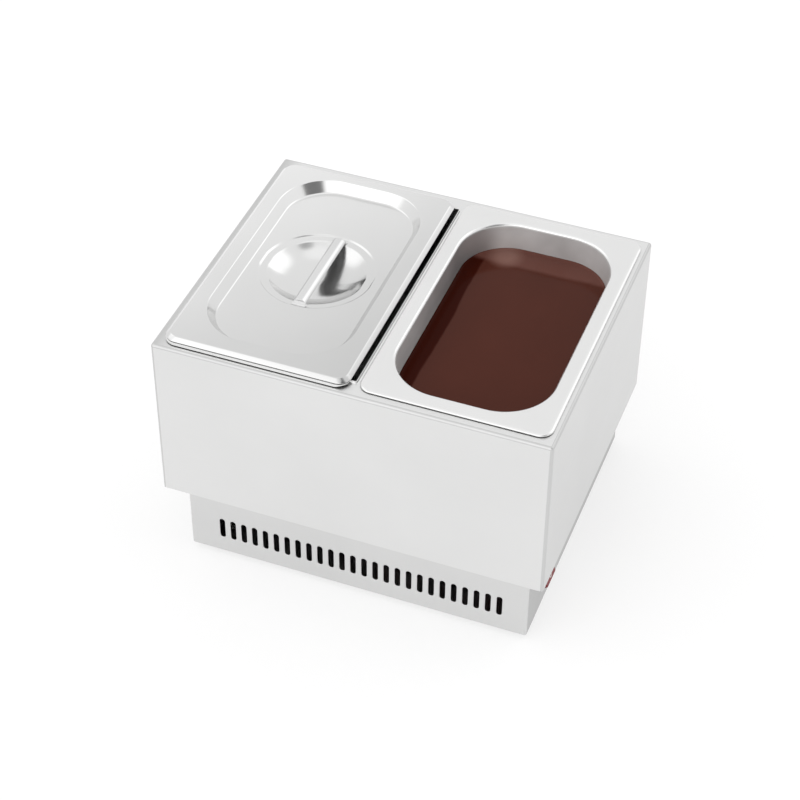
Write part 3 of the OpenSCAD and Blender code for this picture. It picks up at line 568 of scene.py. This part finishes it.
def pan_piece(c, name, body, node, low, drop, over=None):
    """Pan whose flange's edge bends down by drop and ends at the height low, or on its right side at the height over."""
    b = Build()
    n = 16

    def edge_ring(inset, z):
        out = []
        for x, y, h in flange_ring(c, inset, z, n):
            if over and h < RIM - 0.8:
                f = min(1.0, max(0.0, (x - c[0] - PW / 2 + 11.0) / 8.0))
                h += f * f * (3 - 2 * f) * (over + 0.03 * (h - low) / (RIM - 0.8 - low) - h)
            out.append((x, y, h))
        return out
    zb, t, fr = RIM - 100.0, 0.8, 12.0
    mh, mv = 3.4, 3.2                # round mouth: across and down
    i0 = taper(RIM - mv)
    rings = []
    # outside: bottom up to the flange's underside
    for a in (90, 75, 60, 45, 30, 15, 0):
        r = math.radians(a)
        rings.append(pan_ring(c, zb - t + fr * (1 - math.sin(r)), taper(zb + fr) + fr * (1 - math.cos(r)), t, n))
    rings.append(pan_ring(c, 180.0, taper(180.0), t, n))
    rings.append(pan_ring(c, 210.0, taper(210.0), t, n))
    for a in (0, 22.5, 45, 67.5, 90):
        r = math.radians(a)
        rings.append(pan_ring(c, RIM - mv - t + mv * math.sin(r), i0 - mh * (1 - math.cos(r)), t * math.cos(r), n))
    # flange's underside and its bent, rounded outer edge
    eh = 5.0
    for i, h in ((eh, 0.0), (3.0, 0.0), (1.75, 0.02), (1.05, drop * 0.3), (0.85, drop * 0.6)):
        rings.append(edge_ring(i, RIM - t - h))
    rings.append(edge_ring(0.8, low + 0.1))
    rings.append(edge_ring(0.5, low))
    rings.append(edge_ring(0.3, low))
    rings.append(edge_ring(0.08, low + 0.1))
    rings.append(edge_ring(0.0, low + 0.26))
    for a in (10, 22, 34, 46, 58, 70, 80, 90):
        r = math.radians(a)
        rings.append(flange_ring(c, eh * (1 - math.cos(r)), RIM - drop + drop * math.sin(r), n))
    # flange's top, rounded mouth, inner wall, floor
    for a in (90, 75, 60, 45, 30, 15, 0):
        r = math.radians(a)
        rings.append(pan_ring(c, RIM - mv + mv * math.sin(r), i0 - mh * (1 - math.cos(r)), 0, n))
    rings.append(pan_ring(c, 205.0, taper(205.0), 0, n))
    rings.append(pan_ring(c, 170.0, taper(170.0), 0, n))
    for a in (0, 15, 30, 45, 60, 75, 90):
        r = math.radians(a)
        rings.append(pan_ring(c, zb + fr * (1 - math.sin(r)), taper(zb + fr) + fr * (1 - math.cos(r)), 0, n))
    ids = [b.add(r) for r in rings]
    for k in range(len(ids) - 1):
        b.mat = 1 if k >= len(ids) - 12 else 0      # inner walls and floor are duller than the flange
        b.strip(ids[k], ids[k + 1])
    b.face(ids[-1])
    b.mat = 0
    b.face(list(reversed(ids[0])))
    return b.piece(name, [M_PAN, M_PANIN], body, [node], angle=50)


pan_piece(LP, "pan_left", "left_pan_unit", "left_pan", Z2 + 0.75, 0.6, COLLAR + 0.06)
pan_piece(RP, "pan_right", "right_pan_unit", "right_pan", Z2 + 0.65, 1.5)

# ---------------------------------------------------------------- chocolate
b = Build()
zb, fr = RIM - 100.0, 12.0
rings = []
for a in (90, 70, 50, 30, 15, 0):
    r = math.radians(a)
    rings.append(pan_ring(RP, zb + 0.1 + fr * (1 - math.sin(r)), taper(zb + fr) + fr * (1 - math.cos(r)) + 0.1, 0, 16))
rings.append(pan_ring(RP, 170.0, taper(170.0) + 0.1, 0, 16))
# the surface climbs a little where it wets the wall
for g, h in ((0.12, 1.5), (0.45, 0.9), (1.0, 0.48), (1.9, 0.2), (3.2, 0.06), (5.0, 0.0)):
    rings.append(pan_ring(RP, CHOC + h, taper(CHOC + h) + g, 0, 16))
for f in (0.8, 0.6, 0.4, 0.2):
    i = taper(CHOC) + 5.0
    w, d = (MW - 2 * i) * f, (ML - 2 * i) * f
    rings.append(ring(RP[0], RP[1], w, d, (MR - i * 0.55) * f, CHOC + 0.02 * math.sin(9 * f), 16))
ids = b.loft(rings)
b.face(list(reversed(ids[0])))
b.face(ids[-1])
b.piece("chocolate_melt", M_CHOC, "right_pan_unit", ["melted_chocolate"], angle=60)


# ---------------------------------------------------------------- lid
NL = 18


def circle_ring(r, z, n=NL):
    """Same number of points as a rounded rectangle's ring, on a circle round the dish."""
    out = []
    for k in range(4):
        for i in range(n + 1):
            # the straight sides' ends share the arc between neighbouring corners
            a = 90 * k + 8 + (90 - 16) * i / n
            out.append((DC[0] + r * math.cos(math.radians(a)), DC[1] + r * math.sin(math.radians(a)), z))
    return out


DR, DH, DE = 43.5, 11.4, 3.1      # dish: radius, depth, how flat its middle is


def bowl(r):
    return RINGZ - DH + DH * (r / DR) ** DE


def lid_skin(t):
    """Rings of the upper face (t = 0) or of the lower face, t under it, from the rim's outer edge to the dish's middle."""
    out = []
    # bevelled edge with a soft crease
    for i, h in ((0.0, 3.4), (0.12, 3.1), (0.5, 2.72), (1.2, 2.1), (2.0, 1.4), (2.8, 0.72), (3.2, 0.4), (3.6, 0.17), (4.1, 0.04), (4.9, 0.0), (7.0, 0.0)):
        if t and LIDZ - t - h < RIM + 0.42:
            continue
        i += t * min(1.0, h / 1.5) * 0.8
        out.append(ring(LD[0], LD[1], LW - 2 * i, LL - 2 * i, 11 - 0.75 * i, LIDZ - t - h, NL))
    # inner edge of the rim, steep wall, sunk panel
    run, sink = 7.0, LIDZ - PNLZ
    wall = math.atan2(sink, run)
    r1, r2 = 1.8 + t, 2.4 - t

    def at(u, z):
        return ring(PC[0], PC[1], 130 - 2 * u, 233 - 2 * u, 45.0 - 0.75 * u, z, NL)
    off = t * math.tan(wall / 2)
    x_top = -off - (r1 - t) * math.tan(wall / 2)
    for k in range(7):
        a = wall * k / 6
        out.append(at(x_top + r1 * math.sin(a), LIDZ - t - r1 * (1 - math.cos(a))))
    x_bot = run - off + (r2 + t) * math.tan(wall / 2)
    for k in range(7):
        a = wall * (1 - k / 6)
        out.append(at(x_bot - r2 * math.sin(a), PNLZ - t + r2 * (1 - math.cos(a))))
    # round step and dish
    for r, z in ((52.2, PNLZ), (51.3, PNLZ - 0.05), (50.5, PNLZ - 0.3), (49.7, PNLZ - 1.05), (49.0, PNLZ - 1.4), (48.1, RINGZ), (44.9, RINGZ),
                 (44.2, RINGZ - 0.08), (43.6, RINGZ - 0.34), (42.9, bowl(42.9) - 0.1)):
        out.append(circle_ring(r, z - t))
    for r in (42.0, 40.5, 38.0, 34.5, 30.0, 25.0, 19.0, 12.0, 5.0):
        out.append(circle_ring(r, bowl(r) - t))
    return out


b = Build()
up = [b.add(r) for r in lid_skin(0.0)]
lo = [b.add(r) for r in lid_skin(0.8)]
for s in (up, lo):
    for k in range(len(s) - 1):
        b.strip(s[k], s[k + 1])
    b.face(s[-1])
e0 = b.add(ring(LD[0], LD[1], LW, LL, 11, RIM + 0.5, NL))
e1 = b.add(ring(LD[0], LD[1], LW - 0.3, LL - 0.3, 10.9, RIM + 0.28, NL))
e2 = b.add(ring(LD[0], LD[1], LW - 1.3, LL - 1.3, 10.4, RIM + 0.24, NL))
e3 = b.add(ring(LD[0], LD[1], LW - 1.6, LL - 1.6, 10.3, RIM + 0.4, NL))
for m, n in ((up[0], e0), (e0, e1), (e1, e2), (e2, e3), (e3, lo[0])):
    b.strip(m, n)
b.piece("lid", M_LID, "lid_unit", ["left_lid"], angle=60)

# ---------------------------------------------------------------- lid handle
b = Build()
SX, SY = DC[0] + 2.5, DC[1]
sag, hw = 3.2, 5.75
RR = (hw * hw + sag * sag) / (2 * sag)
am = math.asin(hw / RR)


def strap_ends(y, dz=0.0):
    """Upper bow, lower bow and the two rounded edges of the strap at y."""
    up, dn = [], []
    for k in range(-10, 11):
        a = am * k / 10
        up.append((SX + RR * math.sin(a), y, PNLZ + dz + sag - RR + RR * math.cos(a)))
        dn.append((SX + (RR - 1) * math.sin(a), y, PNLZ + dz + sag - RR + (RR - 1) * math.cos(a)))

    def edge(p, q, sx):
        m = [(p[i] + q[i]) / 2 for i in range(3)]
        return [(p[0] * 0.75 + q[0] * 0.25 + sx * 0.2, y, p[2] * 0.75 + q[2] * 0.25), (m[0] + sx * 0.28, y, m[2]), (p[0] * 0.25 + q[0] * 0.75 + sx * 0.2, y, p[2] * 0.25 + q[2] * 0.75)]
    return up + edge(up[-1], dn[-1], 1) + dn[::-1] + edge(dn[0], up[0], -1)


ys = [-45.2, -44.8, -43.6, -30.0, -15.0, 0.0, 15.0, 30.0, 43.6, 44.8, 45.2]
dz = [-0.45, -0.12, 0.0, 0.0, 0.0, 0.0, 0.0, 0.0, 0.0, -0.12, -0.45]
secs = [b.add(strap_ends(SY + y, z)) for y, z in zip(ys, dz)]
for k in range(len(secs) - 1):
    n = len(secs[k])
    for i in range(n):
        j = (i + 1) % n
        b.mat = 1 if 24 <= i < 44 else 0      # the hollow underside gets a dark copy of the steel: painted shade under the strap
        b.face((secs[k][i], secs[k][j], secs[k + 1][j], secs[k + 1][i]))
b.mat = 0
b.face(list(reversed(secs[0])))
b.face(secs[-1])
for s in (-1, 1):
    # bent-down end
    prof = [(SX + RR * math.sin(am * k / 10), PNLZ + sag - RR + RR * math.cos(am * k / 10) - 0.45) for k in range(-10, 11)]
    prof = prof + [(SX + hw + 0.2, RINGZ + 0.5), (SX - hw - 0.2, RINGZ + 0.5)]
    i = b.loft([[(x, SY + s * 44.25, z) for x, z in prof], [(x, SY + s * 45.3, z) for x, z in prof]])
    b.face(list(reversed(i[0])))
    b.face(i[1])
    # welded foot with rounded corners
    tab = [(0.0, RINGZ + 0.02), (0.0, RINGZ + 0.6), (0.12, RINGZ + 0.86), (0.42, RINGZ + 1.0)]
    i = b.loft([ring(SX, SY + s * 46.0, 14.0 - 2 * k, 3.6 - 2 * k, 1.1 - k * 0.8, z, 5) for k, z in tab])
    b.face(list(reversed(i[0])))
    b.face(i[-1])
b.piece("handle", [M_STRAP, M_STRAP_UNDER_SHADE], "lid_unit", ["lid_handle"], angle=50)

# ---------------------------------------------------------------- small helpers for the fitted parts
def disc(f, r, h, n=28):
    """Circle drawn in the plane of a face; f puts a point (across, up, out) into the object."""
    return [f(r * math.cos(2 * math.pi * k / n), r * math.sin(2 * math.pi * k / n), h) for k in range(n)]


def cross(f, arm, half, h):
    """Outline of a cross recess."""
    pts = [(half, half), (half, arm), (-half, arm), (-half, half), (-arm, half), (-arm, -half), (-half, -half), (-half, -arm), (half, -arm), (half, -half), (arm, -half), (arm, half)]
    return [f(u, v, h) for u, v in pts]


def rounded(pts, r, n=4):
    """Rounds the corners of an outline."""
    out = []
    for k, q in enumerate(pts):
        a, c = Vector(pts[k - 1]), Vector(pts[(k + 1) % len(pts)])
        q = Vector(q)
        p0, p1 = q + (a - q).normalized() * r, q + (c - q).normalized() * r
        for i in range(n + 1):
            t = i / n
            m = p0 * (1 - t) ** 2 + q * 2 * t * (1 - t) + p1 * t ** 2
            out.append((m[0], m[1]))
    return out


def screw(b, f, axes, r, h0, h1, shank, length):
    """Domed head with a cross recess, standing from h0 to h1, and its shank."""
    d = h1 - h0
    prof = [(shank, h0 - length), (shank, h0), (r - 0.15, h0), (r, h0 + 0.15), (r, h0 + d * 0.45), (r * 0.96, h0 + d * 0.68), (r * 0.86, h0 + d * 0.87), (r * 0.74, h0 + d * 0.97), (r * 0.66, h1)]
    ids = b.loft([disc(f, q, h) for q, h in prof])
    b.face(ids[0])
    top = b.add(cross(f, r * 0.52, r * 0.14, h1))
    b.holed(ids[-1], [top], axes)
    low = b.add(cross(f, r * 0.40, r * 0.10, h1 - d * 0.6))
    b.strip(top, low)
    b.face(low)


def slab(b, pts, f, h0, h1):
    """Thin raised mark from its outline."""
    i = b.loft([[f(u, v, h0) for u, v in pts], [f(u, v, h1) for u, v in pts]])
    b.face(i[0])
    b.face(i[1])


def hoop(b, f, r0, r1, h0, h1, a0=0.0, a1=360.0, n=32):
    """Raised ring mark, or a part of one."""
    full = a1 - a0 >= 360
    ang = [math.radians(a0 + (a1 - a0) * k / n) for k in range(n if full else n + 1)]
    rows = [[f(r * math.cos(a), r * math.sin(a), h) for a in ang] for r, h in ((r0, h0), (r0, h1), (r1, h1), (r1, h0))]
    ids = b.loft(rows, closed=full, loop=True)
    if not full:
        for e in (0, -1):
            b.face([i[e] for i in ids])


# ---------------------------------------------------------------- mains switch
def sw(w, d, r, x):
    return turn(ring(SWY, SWZ, w, d, r, x, 6), "x")


b = Build()
ids = b.loft([sw(*q) for q in (
    (24.6, 27.0, 0.6, 134.5), (25.2, 27.6, 0.8, 134.9), (25.2, 27.6, 0.8, 159.47), (27.8, 28.8, 2.8, 159.52), (28.2, 29.2, 3.0, 159.8), (28.2, 29.2, 3.0, 160.6),
    (27.95, 28.95, 2.9, 161.1), (27.4, 28.4, 2.6, 161.4), (26.8, 27.9, 2.3, 161.5), (24.0, 26.8, 0.9, 161.5), (23.35, 26.15, 0.7, 161.36), (23.0, 25.8, 0.5, 161.0), (23.0, 25.8, 0.5, 150.8))])
b.face(ids[0])
b.face(ids[-1])
b.piece("switch_frame", M_BLACK, "housing", ["switch_housing"])

T8, T12 = math.radians(8), math.radians(12)


def rock(x, y, z):
    """Rocker's own section turned to where it rests."""
    return (SWX + x * math.cos(T12) - z * math.sin(T12), SWY + y, SWZ + x * math.sin(T12) + z * math.cos(T12))


def rocker_section(k, y):
    """Rocker's outline, drawn in by k."""
    r, f, t = 12.6 - k, 6.0 - k, math.tan(T8)
    z = (-2 * f * t + math.sqrt(4 * f * f * t * t - 4 * (1 + t * t) * (f * f - r * r))) / (2 * (1 + t * t))
    a0, a1 = math.atan2(z, f + z * t) + 0.05, math.acos((-3 + k) / r)
    half = [(f + 0.12, 0.0), (f + 0.16, 0.7)] + [(f + v * t, v) for v in (1.8, 4.0, 7.0, z - 0.75)] + [(f + z * t - 0.12, z - 0.22)]
    half += [(r * math.cos(a0 + (a1 - a0) * i / 6), r * math.sin(a0 + (a1 - a0) * i / 6)) for i in range(7)]
    pts = half + [(x, -v) for x, v in reversed(half[1:])]
    return [rock(x, y, v) for x, v in pts]


b = Build()
ids = b.loft([rocker_section(k, y) for y, k in ((-11.2, 0.9), (-11.1, 0.5), (-10.85, 0.2), (-10.4, 0.0), (-5, 0.0), (0, 0.0), (5, 0.0), (10.4, 0.0), (10.85, 0.2), (11.1, 0.5), (11.2, 0.9))])
b.face(ids[0])
b.face(ids[-1])
b.piece("rocker_cap", M_RED, "rocker", ["switch_rocker"], angle=30)


def on_rocker(side):
    """Face of one half of the rocker: across, up from the half's middle, out."""
    def f(u, v, h):
        d = 5.6 + side * v
        return rock(6 + d * math.sin(T8) + h * math.cos(T8), u, side * (d * math.cos(T8) - h * math.sin(T8)))
    return f


b = Build()
slab(b, rounded([(-0.5, -2.5), (0.5, -2.5), (0.5, 2.5), (-0.5, 2.5)], 0.25), on_rocker(1), -0.05, 0.06)
hoop(b, on_rocker(-1), 2.4, 1.65, -0.05, 0.06)
b.piece("rocker_marks", M_WHITE, "rocker", ())


# ---------------------------------------------------------------- temperature controller
def ct(w, d, r, x, y=CTY, z=CTZ):
    return turn(ring(y, z, w, d, r, x, 6), "x")


def facing_x(y, z):
    return lambda u, v, h: (h, y + u, z + v)


BTN = {"button_power": (42, 47, "power_button"), "button_set": (53, 47, "set_button"), "button_up": (42, 35, "up_button"), "button_down": (53, 35, "down_button")}
b = Build()
ids = b.loft([ct(*q) for q in ((69.4, 27.6, 0.8, 99.5), (70, 28.2, 1.0, 99.9), (70, 28.2, 1.0, 159.47), (74.4, 33.8, 1.7, 159.52), (75, 34.4, 2.0, 159.8), (75, 34.4, 2.0, 160.8),
                               (74.75, 34.15, 1.9, 161.2), (74.2, 33.6, 1.7, 161.43), (73.4, 32.8, 1.4, 161.5))])
b.face(ids[0])
win = b.loft([ct(w, d, r, x, 13.5) for w, d, r, x in ((42.2, 19.2, 1.6, 161.5), (41.5, 18.5, 1.25, 161.4), (41.1, 18.1, 1.05, 161.2), (41, 18, 1.0, 160.9), (41, 18, 1.0, 160.3))])
b.face(win[-1])
holes = [win[0]]
for y, z, body in BTN.values():
    h = b.loft([disc(facing_x(y, z), r, x) for r, x in ((4.1, 161.5), (3.75, 161.42), (3.62, 161.2), (3.6, 160.9), (3.6, 156.8))])
    b.face(h[-1])
    holes.append(h[0])
b.holed(ids[-1], holes, (1, 2))
b.piece("controller_front", M_BLACK, "housing", ["controller_case"])

b = Build()
ids = b.loft([ct(w, d, r, x, 13.5) for w, d, r, x in ((40.8, 17.8, 0.95, 160.35), (40.8, 17.8, 0.95, 161.1), (40.6, 17.6, 0.9, 161.28), (40.2, 17.2, 0.8, 161.37), (39.6, 16.6, 0.6, 161.4))])
b.face(ids[0])
b.face(ids[-1])
b.piece("display_window", M_LENS, "housing", ["controller_lens"])

# three plain numbers and two signal dots on the display
b = Build()
SEG = {"a": (0, 4.3, 0), "g": (0, 0, 0), "d": (0, -4.3, 0), "f": (-2.15, 2.15, 1), "b": (2.15, 2.15, 1), "e": (-2.15, -2.15, 1), "c": (2.15, -2.15, 1)}
for y, on in ((6.0, "bcfg"), (14.5, "acdfg"), (23.0, "abcdef")):
    f = facing_x(y, CTZ)
    for k in on:
        cu, cv, up = SEG[k]
        bar = [(-1.75, 0), (-1.3, 0.45), (1.3, 0.45), (1.75, 0), (1.3, -0.45), (-1.3, -0.45)]
        pts = [(cu + (v if up else u) + 0.09 * (cv + (u if up else v)), cv + (u if up else v)) for u, v in bar]
        slab(b, pts, f, 161.36, 161.44)
for y, z, r in ((18.9, CTZ - 4.4, 0.6), (-2.6, CTZ + 4.6, 0.8), (-2.6, CTZ + 0.6, 0.8)):
    slab(b, [(r * math.cos(math.pi * k / 8), r * math.sin(math.pi * k / 8)) for k in range(16)], facing_x(y, z), 161.36, 161.44)
b.piece("display_numbers", M_GLOW, "housing", ())

for node, (y, z, body) in BTN.items():
    b = Build()
    b.lathe([(2.9, 158.2), (3.2, 158.3), (3.3, 158.5), (3.3, 161.6), (3.25, 161.85), (3.08, 162.1), (2.8, 162.25), (2.5, 162.3), (2.1, 162.27), (1.4, 162.2), (0.6, 162.17)], (0, y, z), "x", 36, True, True)
    b.piece(node + "_cap", M_BTNR if node == "button_power" else M_BTNG, body, [node], angle=35)
    b = Build()
    f = facing_x(y, z)
    if node == "button_power":
        hoop(b, f, 1.5, 1.05, 162.1, 162.27, 125, 415, 24)
        slab(b, rounded([(-0.22, 0.4), (0.22, 0.4), (0.22, 1.9), (-0.22, 1.9)], 0.1), f, 162.1, 162.28)
    elif node == "button_set":
        hoop(b, f, 1.35, 0.9, 162.1, 162.26)
        slab(b, [(0.4 * math.cos(math.pi * k / 8), 0.4 * math.sin(math.pi * k / 8)) for k in range(16)], f, 162.1, 162.22)
    else:
        k = 1 if node == "button_up" else -1
        slab(b, rounded([(-1.5, -1.0 * k), (1.5, -1.0 * k), (0, 1.6 * k)], 0.15), f, 162.1, 162.25)
    b.piece(node + "_mark", M_WHITE if node == "button_power" else M_BLACK, body, ())


# ---------------------------------------------------------------- power inlet
def il(w, d, r, y):
    return turn(ring(-INX, INZ, w, d, r, y, 6), "y")


SOCK = [(-12, -8.2), (12, -8.2), (12, 3.5), (7.4, 8.2), (-7.4, 8.2), (-12, 3.5)]


def socket(k, y):
    return [(INX + u * (1 + k / 11.0), y, INZ + v * (1 + k / 8.2)) for u, v in rounded(SOCK, 1.2)]


b = Build()
ids = b.loft([il(*q) for q in ((26.4, 19.4, 0.6, 111.0), (27, 20, 0.8, 111.4), (27, 20, 0.8, 129.97), (49.4, 22.0, 2.7, 130.02), (50, 22.6, 3.0, 130.3), (50, 22.6, 3.0, 132.1),
                               (49.75, 22.35, 2.9, 132.6), (49.2, 21.8, 2.6, 132.9), (48.4, 21.0, 2.2, 133.0))])
b.face(ids[0])
s0 = [b.add(socket(k, y)) for k, y in ((0.45, 133.0), (0.14, 132.9), (0.0, 132.6), (0.0, 117.0))]
for k in range(3):
    b.strip(s0[k], s0[k + 1])
b.face(s0[-1])
holes = [s0[0]]
for x in (INX - 20, INX + 20):
    f = (lambda x: lambda u, v, h: (x - u, h, INZ + v))(x)
    h = b.loft([disc(f, r, y) for r, y in ((3.35, 133.0), (3.1, 132.9), (3.0, 132.7), (3.0, 131.4))])
    b.face(h[-1])
    holes.append(h[0])
b.holed(ids[-1], holes, (0, 2))
b.piece("inlet_frame", M_BLACK, "housing", ["inlet_housing"])

b = Build()
for x in (INX - 20, INX + 20):
    screw(b, (lambda x: lambda u, v, h: (x - u, h, INZ + v))(x), (0, 2), 2.8, 131.42, 132.8, 1.45, 6.5)
    n = b.loft([[(x + 3.1 * math.cos(math.pi * k / 3), y, INZ + 3.1 * math.sin(math.pi * k / 3)) for k in range(6)] for y in (126.6, 129.0)])
    b.face(n[0])
    b.face(n[1])
b.piece("inlet_fasteners", M_ZINC, "housing", ["inlet_screws"])

# ---------------------------------------------------------------- feet and fasteners
b = Build()
for x, y in FEET:
    b.lathe([(2.05, 2.2), (4.9, 2.2), (5.0, 2.1), (5.0, 0.5), (5.2, 0.15), (5.6, 0.0), (9.4, 0.0), (10.2, 0.14), (10.75, 0.55), (11.0, 1.2), (11.0, 2.1), (10.6, 2.35), (10.6, 2.75), (11.0, 3.0),
             (11.0, 4.5), (10.8, 4.85), (10.4, 4.98), (2.05, 4.98), (2.05, 2.2)], (x, y, 0), "z", 44)
b.piece("rubber_feet", M_RUBBER, "housing", ["feet"])

b = Build()
for x, y in FEET:
    screw(b, (lambda x, y: lambda u, v, h: (x + u, y - v, -h))(x, y), (0, 1), 4.2, -2.18, -0.6, 2.0, 9.3)
b.piece("foot_fasteners", M_ZINC, "housing", ["foot_screws"])

b = Build()
for x, y in COVER:
    screw(b, (lambda x, y: lambda u, v, h: (x + u, y - v, -h))(x, y), (0, 1), 3.6, -Z0 + 0.02, -Z0 + 2.0, 1.9, 6.0)
b.piece("cover_fasteners", M_ZINC, "housing", ["cover_screws"])

b = Build()
for x, y in RIVETS:
    b.lathe([(0.35, Z1 - 1.0), (1.0, Z1 - 0.97), (1.7, Z1 - 0.86), (2.4, Z1 - 0.62), (2.95, Z1 - 0.3), (3.2, Z1 - 0.02), (1.6, Z1 - 0.01), (1.6, Z1 + 2.02), (2.6, Z1 + 2.02), (2.6, Z1 + 2.7), (2.2, Z1 + 3.1),
             (1.3, Z1 + 3.2), (1.2, Z1 + 2.6), (0.35, Z1 + 2.6)], (x, y, 0), "z", 32, True, True)
b.piece("plate_rivets", M_ZINC, "housing", ["partition_rivets"])

# ---------------------------------------------------------------- CAD nodes that keep their shape
KEEP = {
    M_INNER: ["heated_well", "partition_plate", "bottom_cover"],
    M_WOOL: ["insulation_wrap", "insulation_board"],
    M_ZINC: ["base_bolts", "base_nuts", "foot_nuts", "clamp_plate_left", "clamp_plate_right", "well_studs", "stud_nuts", "probe_clip"],
    M_RUBBER: ["cable_grommet"],
    M_MAT: ["heater_mat_left", "heater_mat_right"],
    M_STRAP: ["temperature_probe"],
    M_BLACK: ["thermal_cutout"],
    M_ORANGE: ["controller_clips"],
    M_WHITE: ["terminal_block"],
    M_BRASS: ["terminal_screws", "earth_stud", "inlet_pins"],
    M_WIRE: ["wiring"],
}
for mat, names in KEEP.items():
    for n in names:
        o = NODES[n]
        o.data.materials.clear()
        o.data.materials.append(mat)
        if n == "wiring":
            continue
        # sheared and moulded edges are never sharp
        m = o.modifiers.new("join", "WELD")
        m.merge_threshold = 1e-6
        m = o.modifiers.new("edges", "BEVEL")
        m.width, m.segments, m.limit_method, m.angle_limit = 0.0002, 2, "ANGLE", math.radians(40)
        m.use_clamp_overlap = True
        m = o.modifiers.new("normals", "WEIGHTED_NORMAL")
        m.keep_sharp = True

# ---------------------------------------------------------------- floor, light, camera
me = bpy.data.meshes.new("floor")
bm = bmesh.new()
bmesh.ops.create_grid(bm, x_segments=2, y_segments=2, size=30.0)
bm.to_mesh(me)
bm.free()
floor = bpy.data.objects.new("floor", me)
scene.collection.objects.link(floor)
m, nt, p = new_mat("floor_paper")
p.inputs["Base Color"].default_value = (0.36, 0.36, 0.36, 1)
p.inputs["Emission Color"].default_value = (1, 1, 1, 1)
p.inputs["Emission Strength"].default_value = 0.64
p.inputs["Roughness"].default_value = 0.9
p.inputs["Specular IOR Level"].default_value = 0.1
me.materials.append(m)

world = bpy.data.worlds.new("studio")
scene.world = world
world.use_nodes = True
wn = world.node_tree
bg = wn.nodes["Background"]
tc = wn.nodes.new("ShaderNodeTexCoord")


def wmath(op, a, c):
    m = wn.nodes.new("ShaderNodeMath")
    m.operation = op
    for k, v in enumerate((a, c)):
        if isinstance(v, (int, float)):
            m.inputs[k].default_value = v
        else:
            wn.links.new(v, m.inputs[k])
    return m.outputs[0]


def patch(direction, inner, outer, value):
    """Factor of a soft round patch of the studio: value in its middle, 1 outside."""
    d = wn.nodes.new("ShaderNodeVectorMath")
    d.operation = "DOT_PRODUCT"
    wn.links.new(tc.outputs["Generated"], d.inputs[0])
    d.inputs[1].default_value = Vector(direction).normalized()
    r = wn.nodes.new("ShaderNodeMapRange")
    r.interpolation_type = "SMOOTHSTEP"
    r.inputs["From Min"].default_value = math.cos(math.radians(outer))
    r.inputs["From Max"].default_value = math.cos(math.radians(inner))
    r.inputs["To Min"].default_value = 1.0
    r.inputs["To Max"].default_value = value
    wn.links.new(d.outputs["Value"], r.inputs["Value"])
    return r.outputs["Result"]


light = 1.02
for args in (
    ((0.46, 0.60, 0.64), 9, 24, 1.45),     # softbox over the back right
    ((-0.72, -0.02, 0.70), 7, 24, 1.4),    # softbox over the left
    ((-0.05, 0.0, 1.0), 6, 22, 1.15),       # softbox overhead
    ((-0.25, -0.87, 0.42), 22, 48, 1.6),   # wide softbox in front
    ((0.33, -0.15, 0.93), 3, 13, 0.5),     # gap between the softboxes
    ((0.61, -0.41, 0.68), 14, 22, 0.21),   # dark screen over the front right
):
    light = wmath("MULTIPLY", light, patch(*args))
wn.links.new(light, bg.inputs["Strength"])
bg.inputs["Color"].default_value = (1, 1, 1, 1)

cam = bpy.data.cameras.new("cam")
co = bpy.data.objects.new("cam", cam)
scene.collection.objects.link(co)
rv = Vector((2.271392, 0.420622, -0.179376))
R = Matrix.Rotation(rv.length, 3, rv.normalized())
ax = [Vector(R[i]) for i in range(3)]
co.matrix_world = Matrix((
    (ax[0][0], -ax[1][0], -ax[2][0], 0.477701),
    (ax[0][1], -ax[1][1], -ax[2][1], -1.293987),
    (ax[0][2], -ax[1][2], -ax[2][2], 1.348444),
    (0, 0, 0, 1)))
cam.sensor_fit = "HORIZONTAL"
cam.sensor_width = 36.0
cam.lens = 2111.727265 / 800.0 * 36.0
cam.clip_start, cam.clip_end = 0.05, 50.0
scene.camera = co
scene.view_settings.view_transform = "Standard"
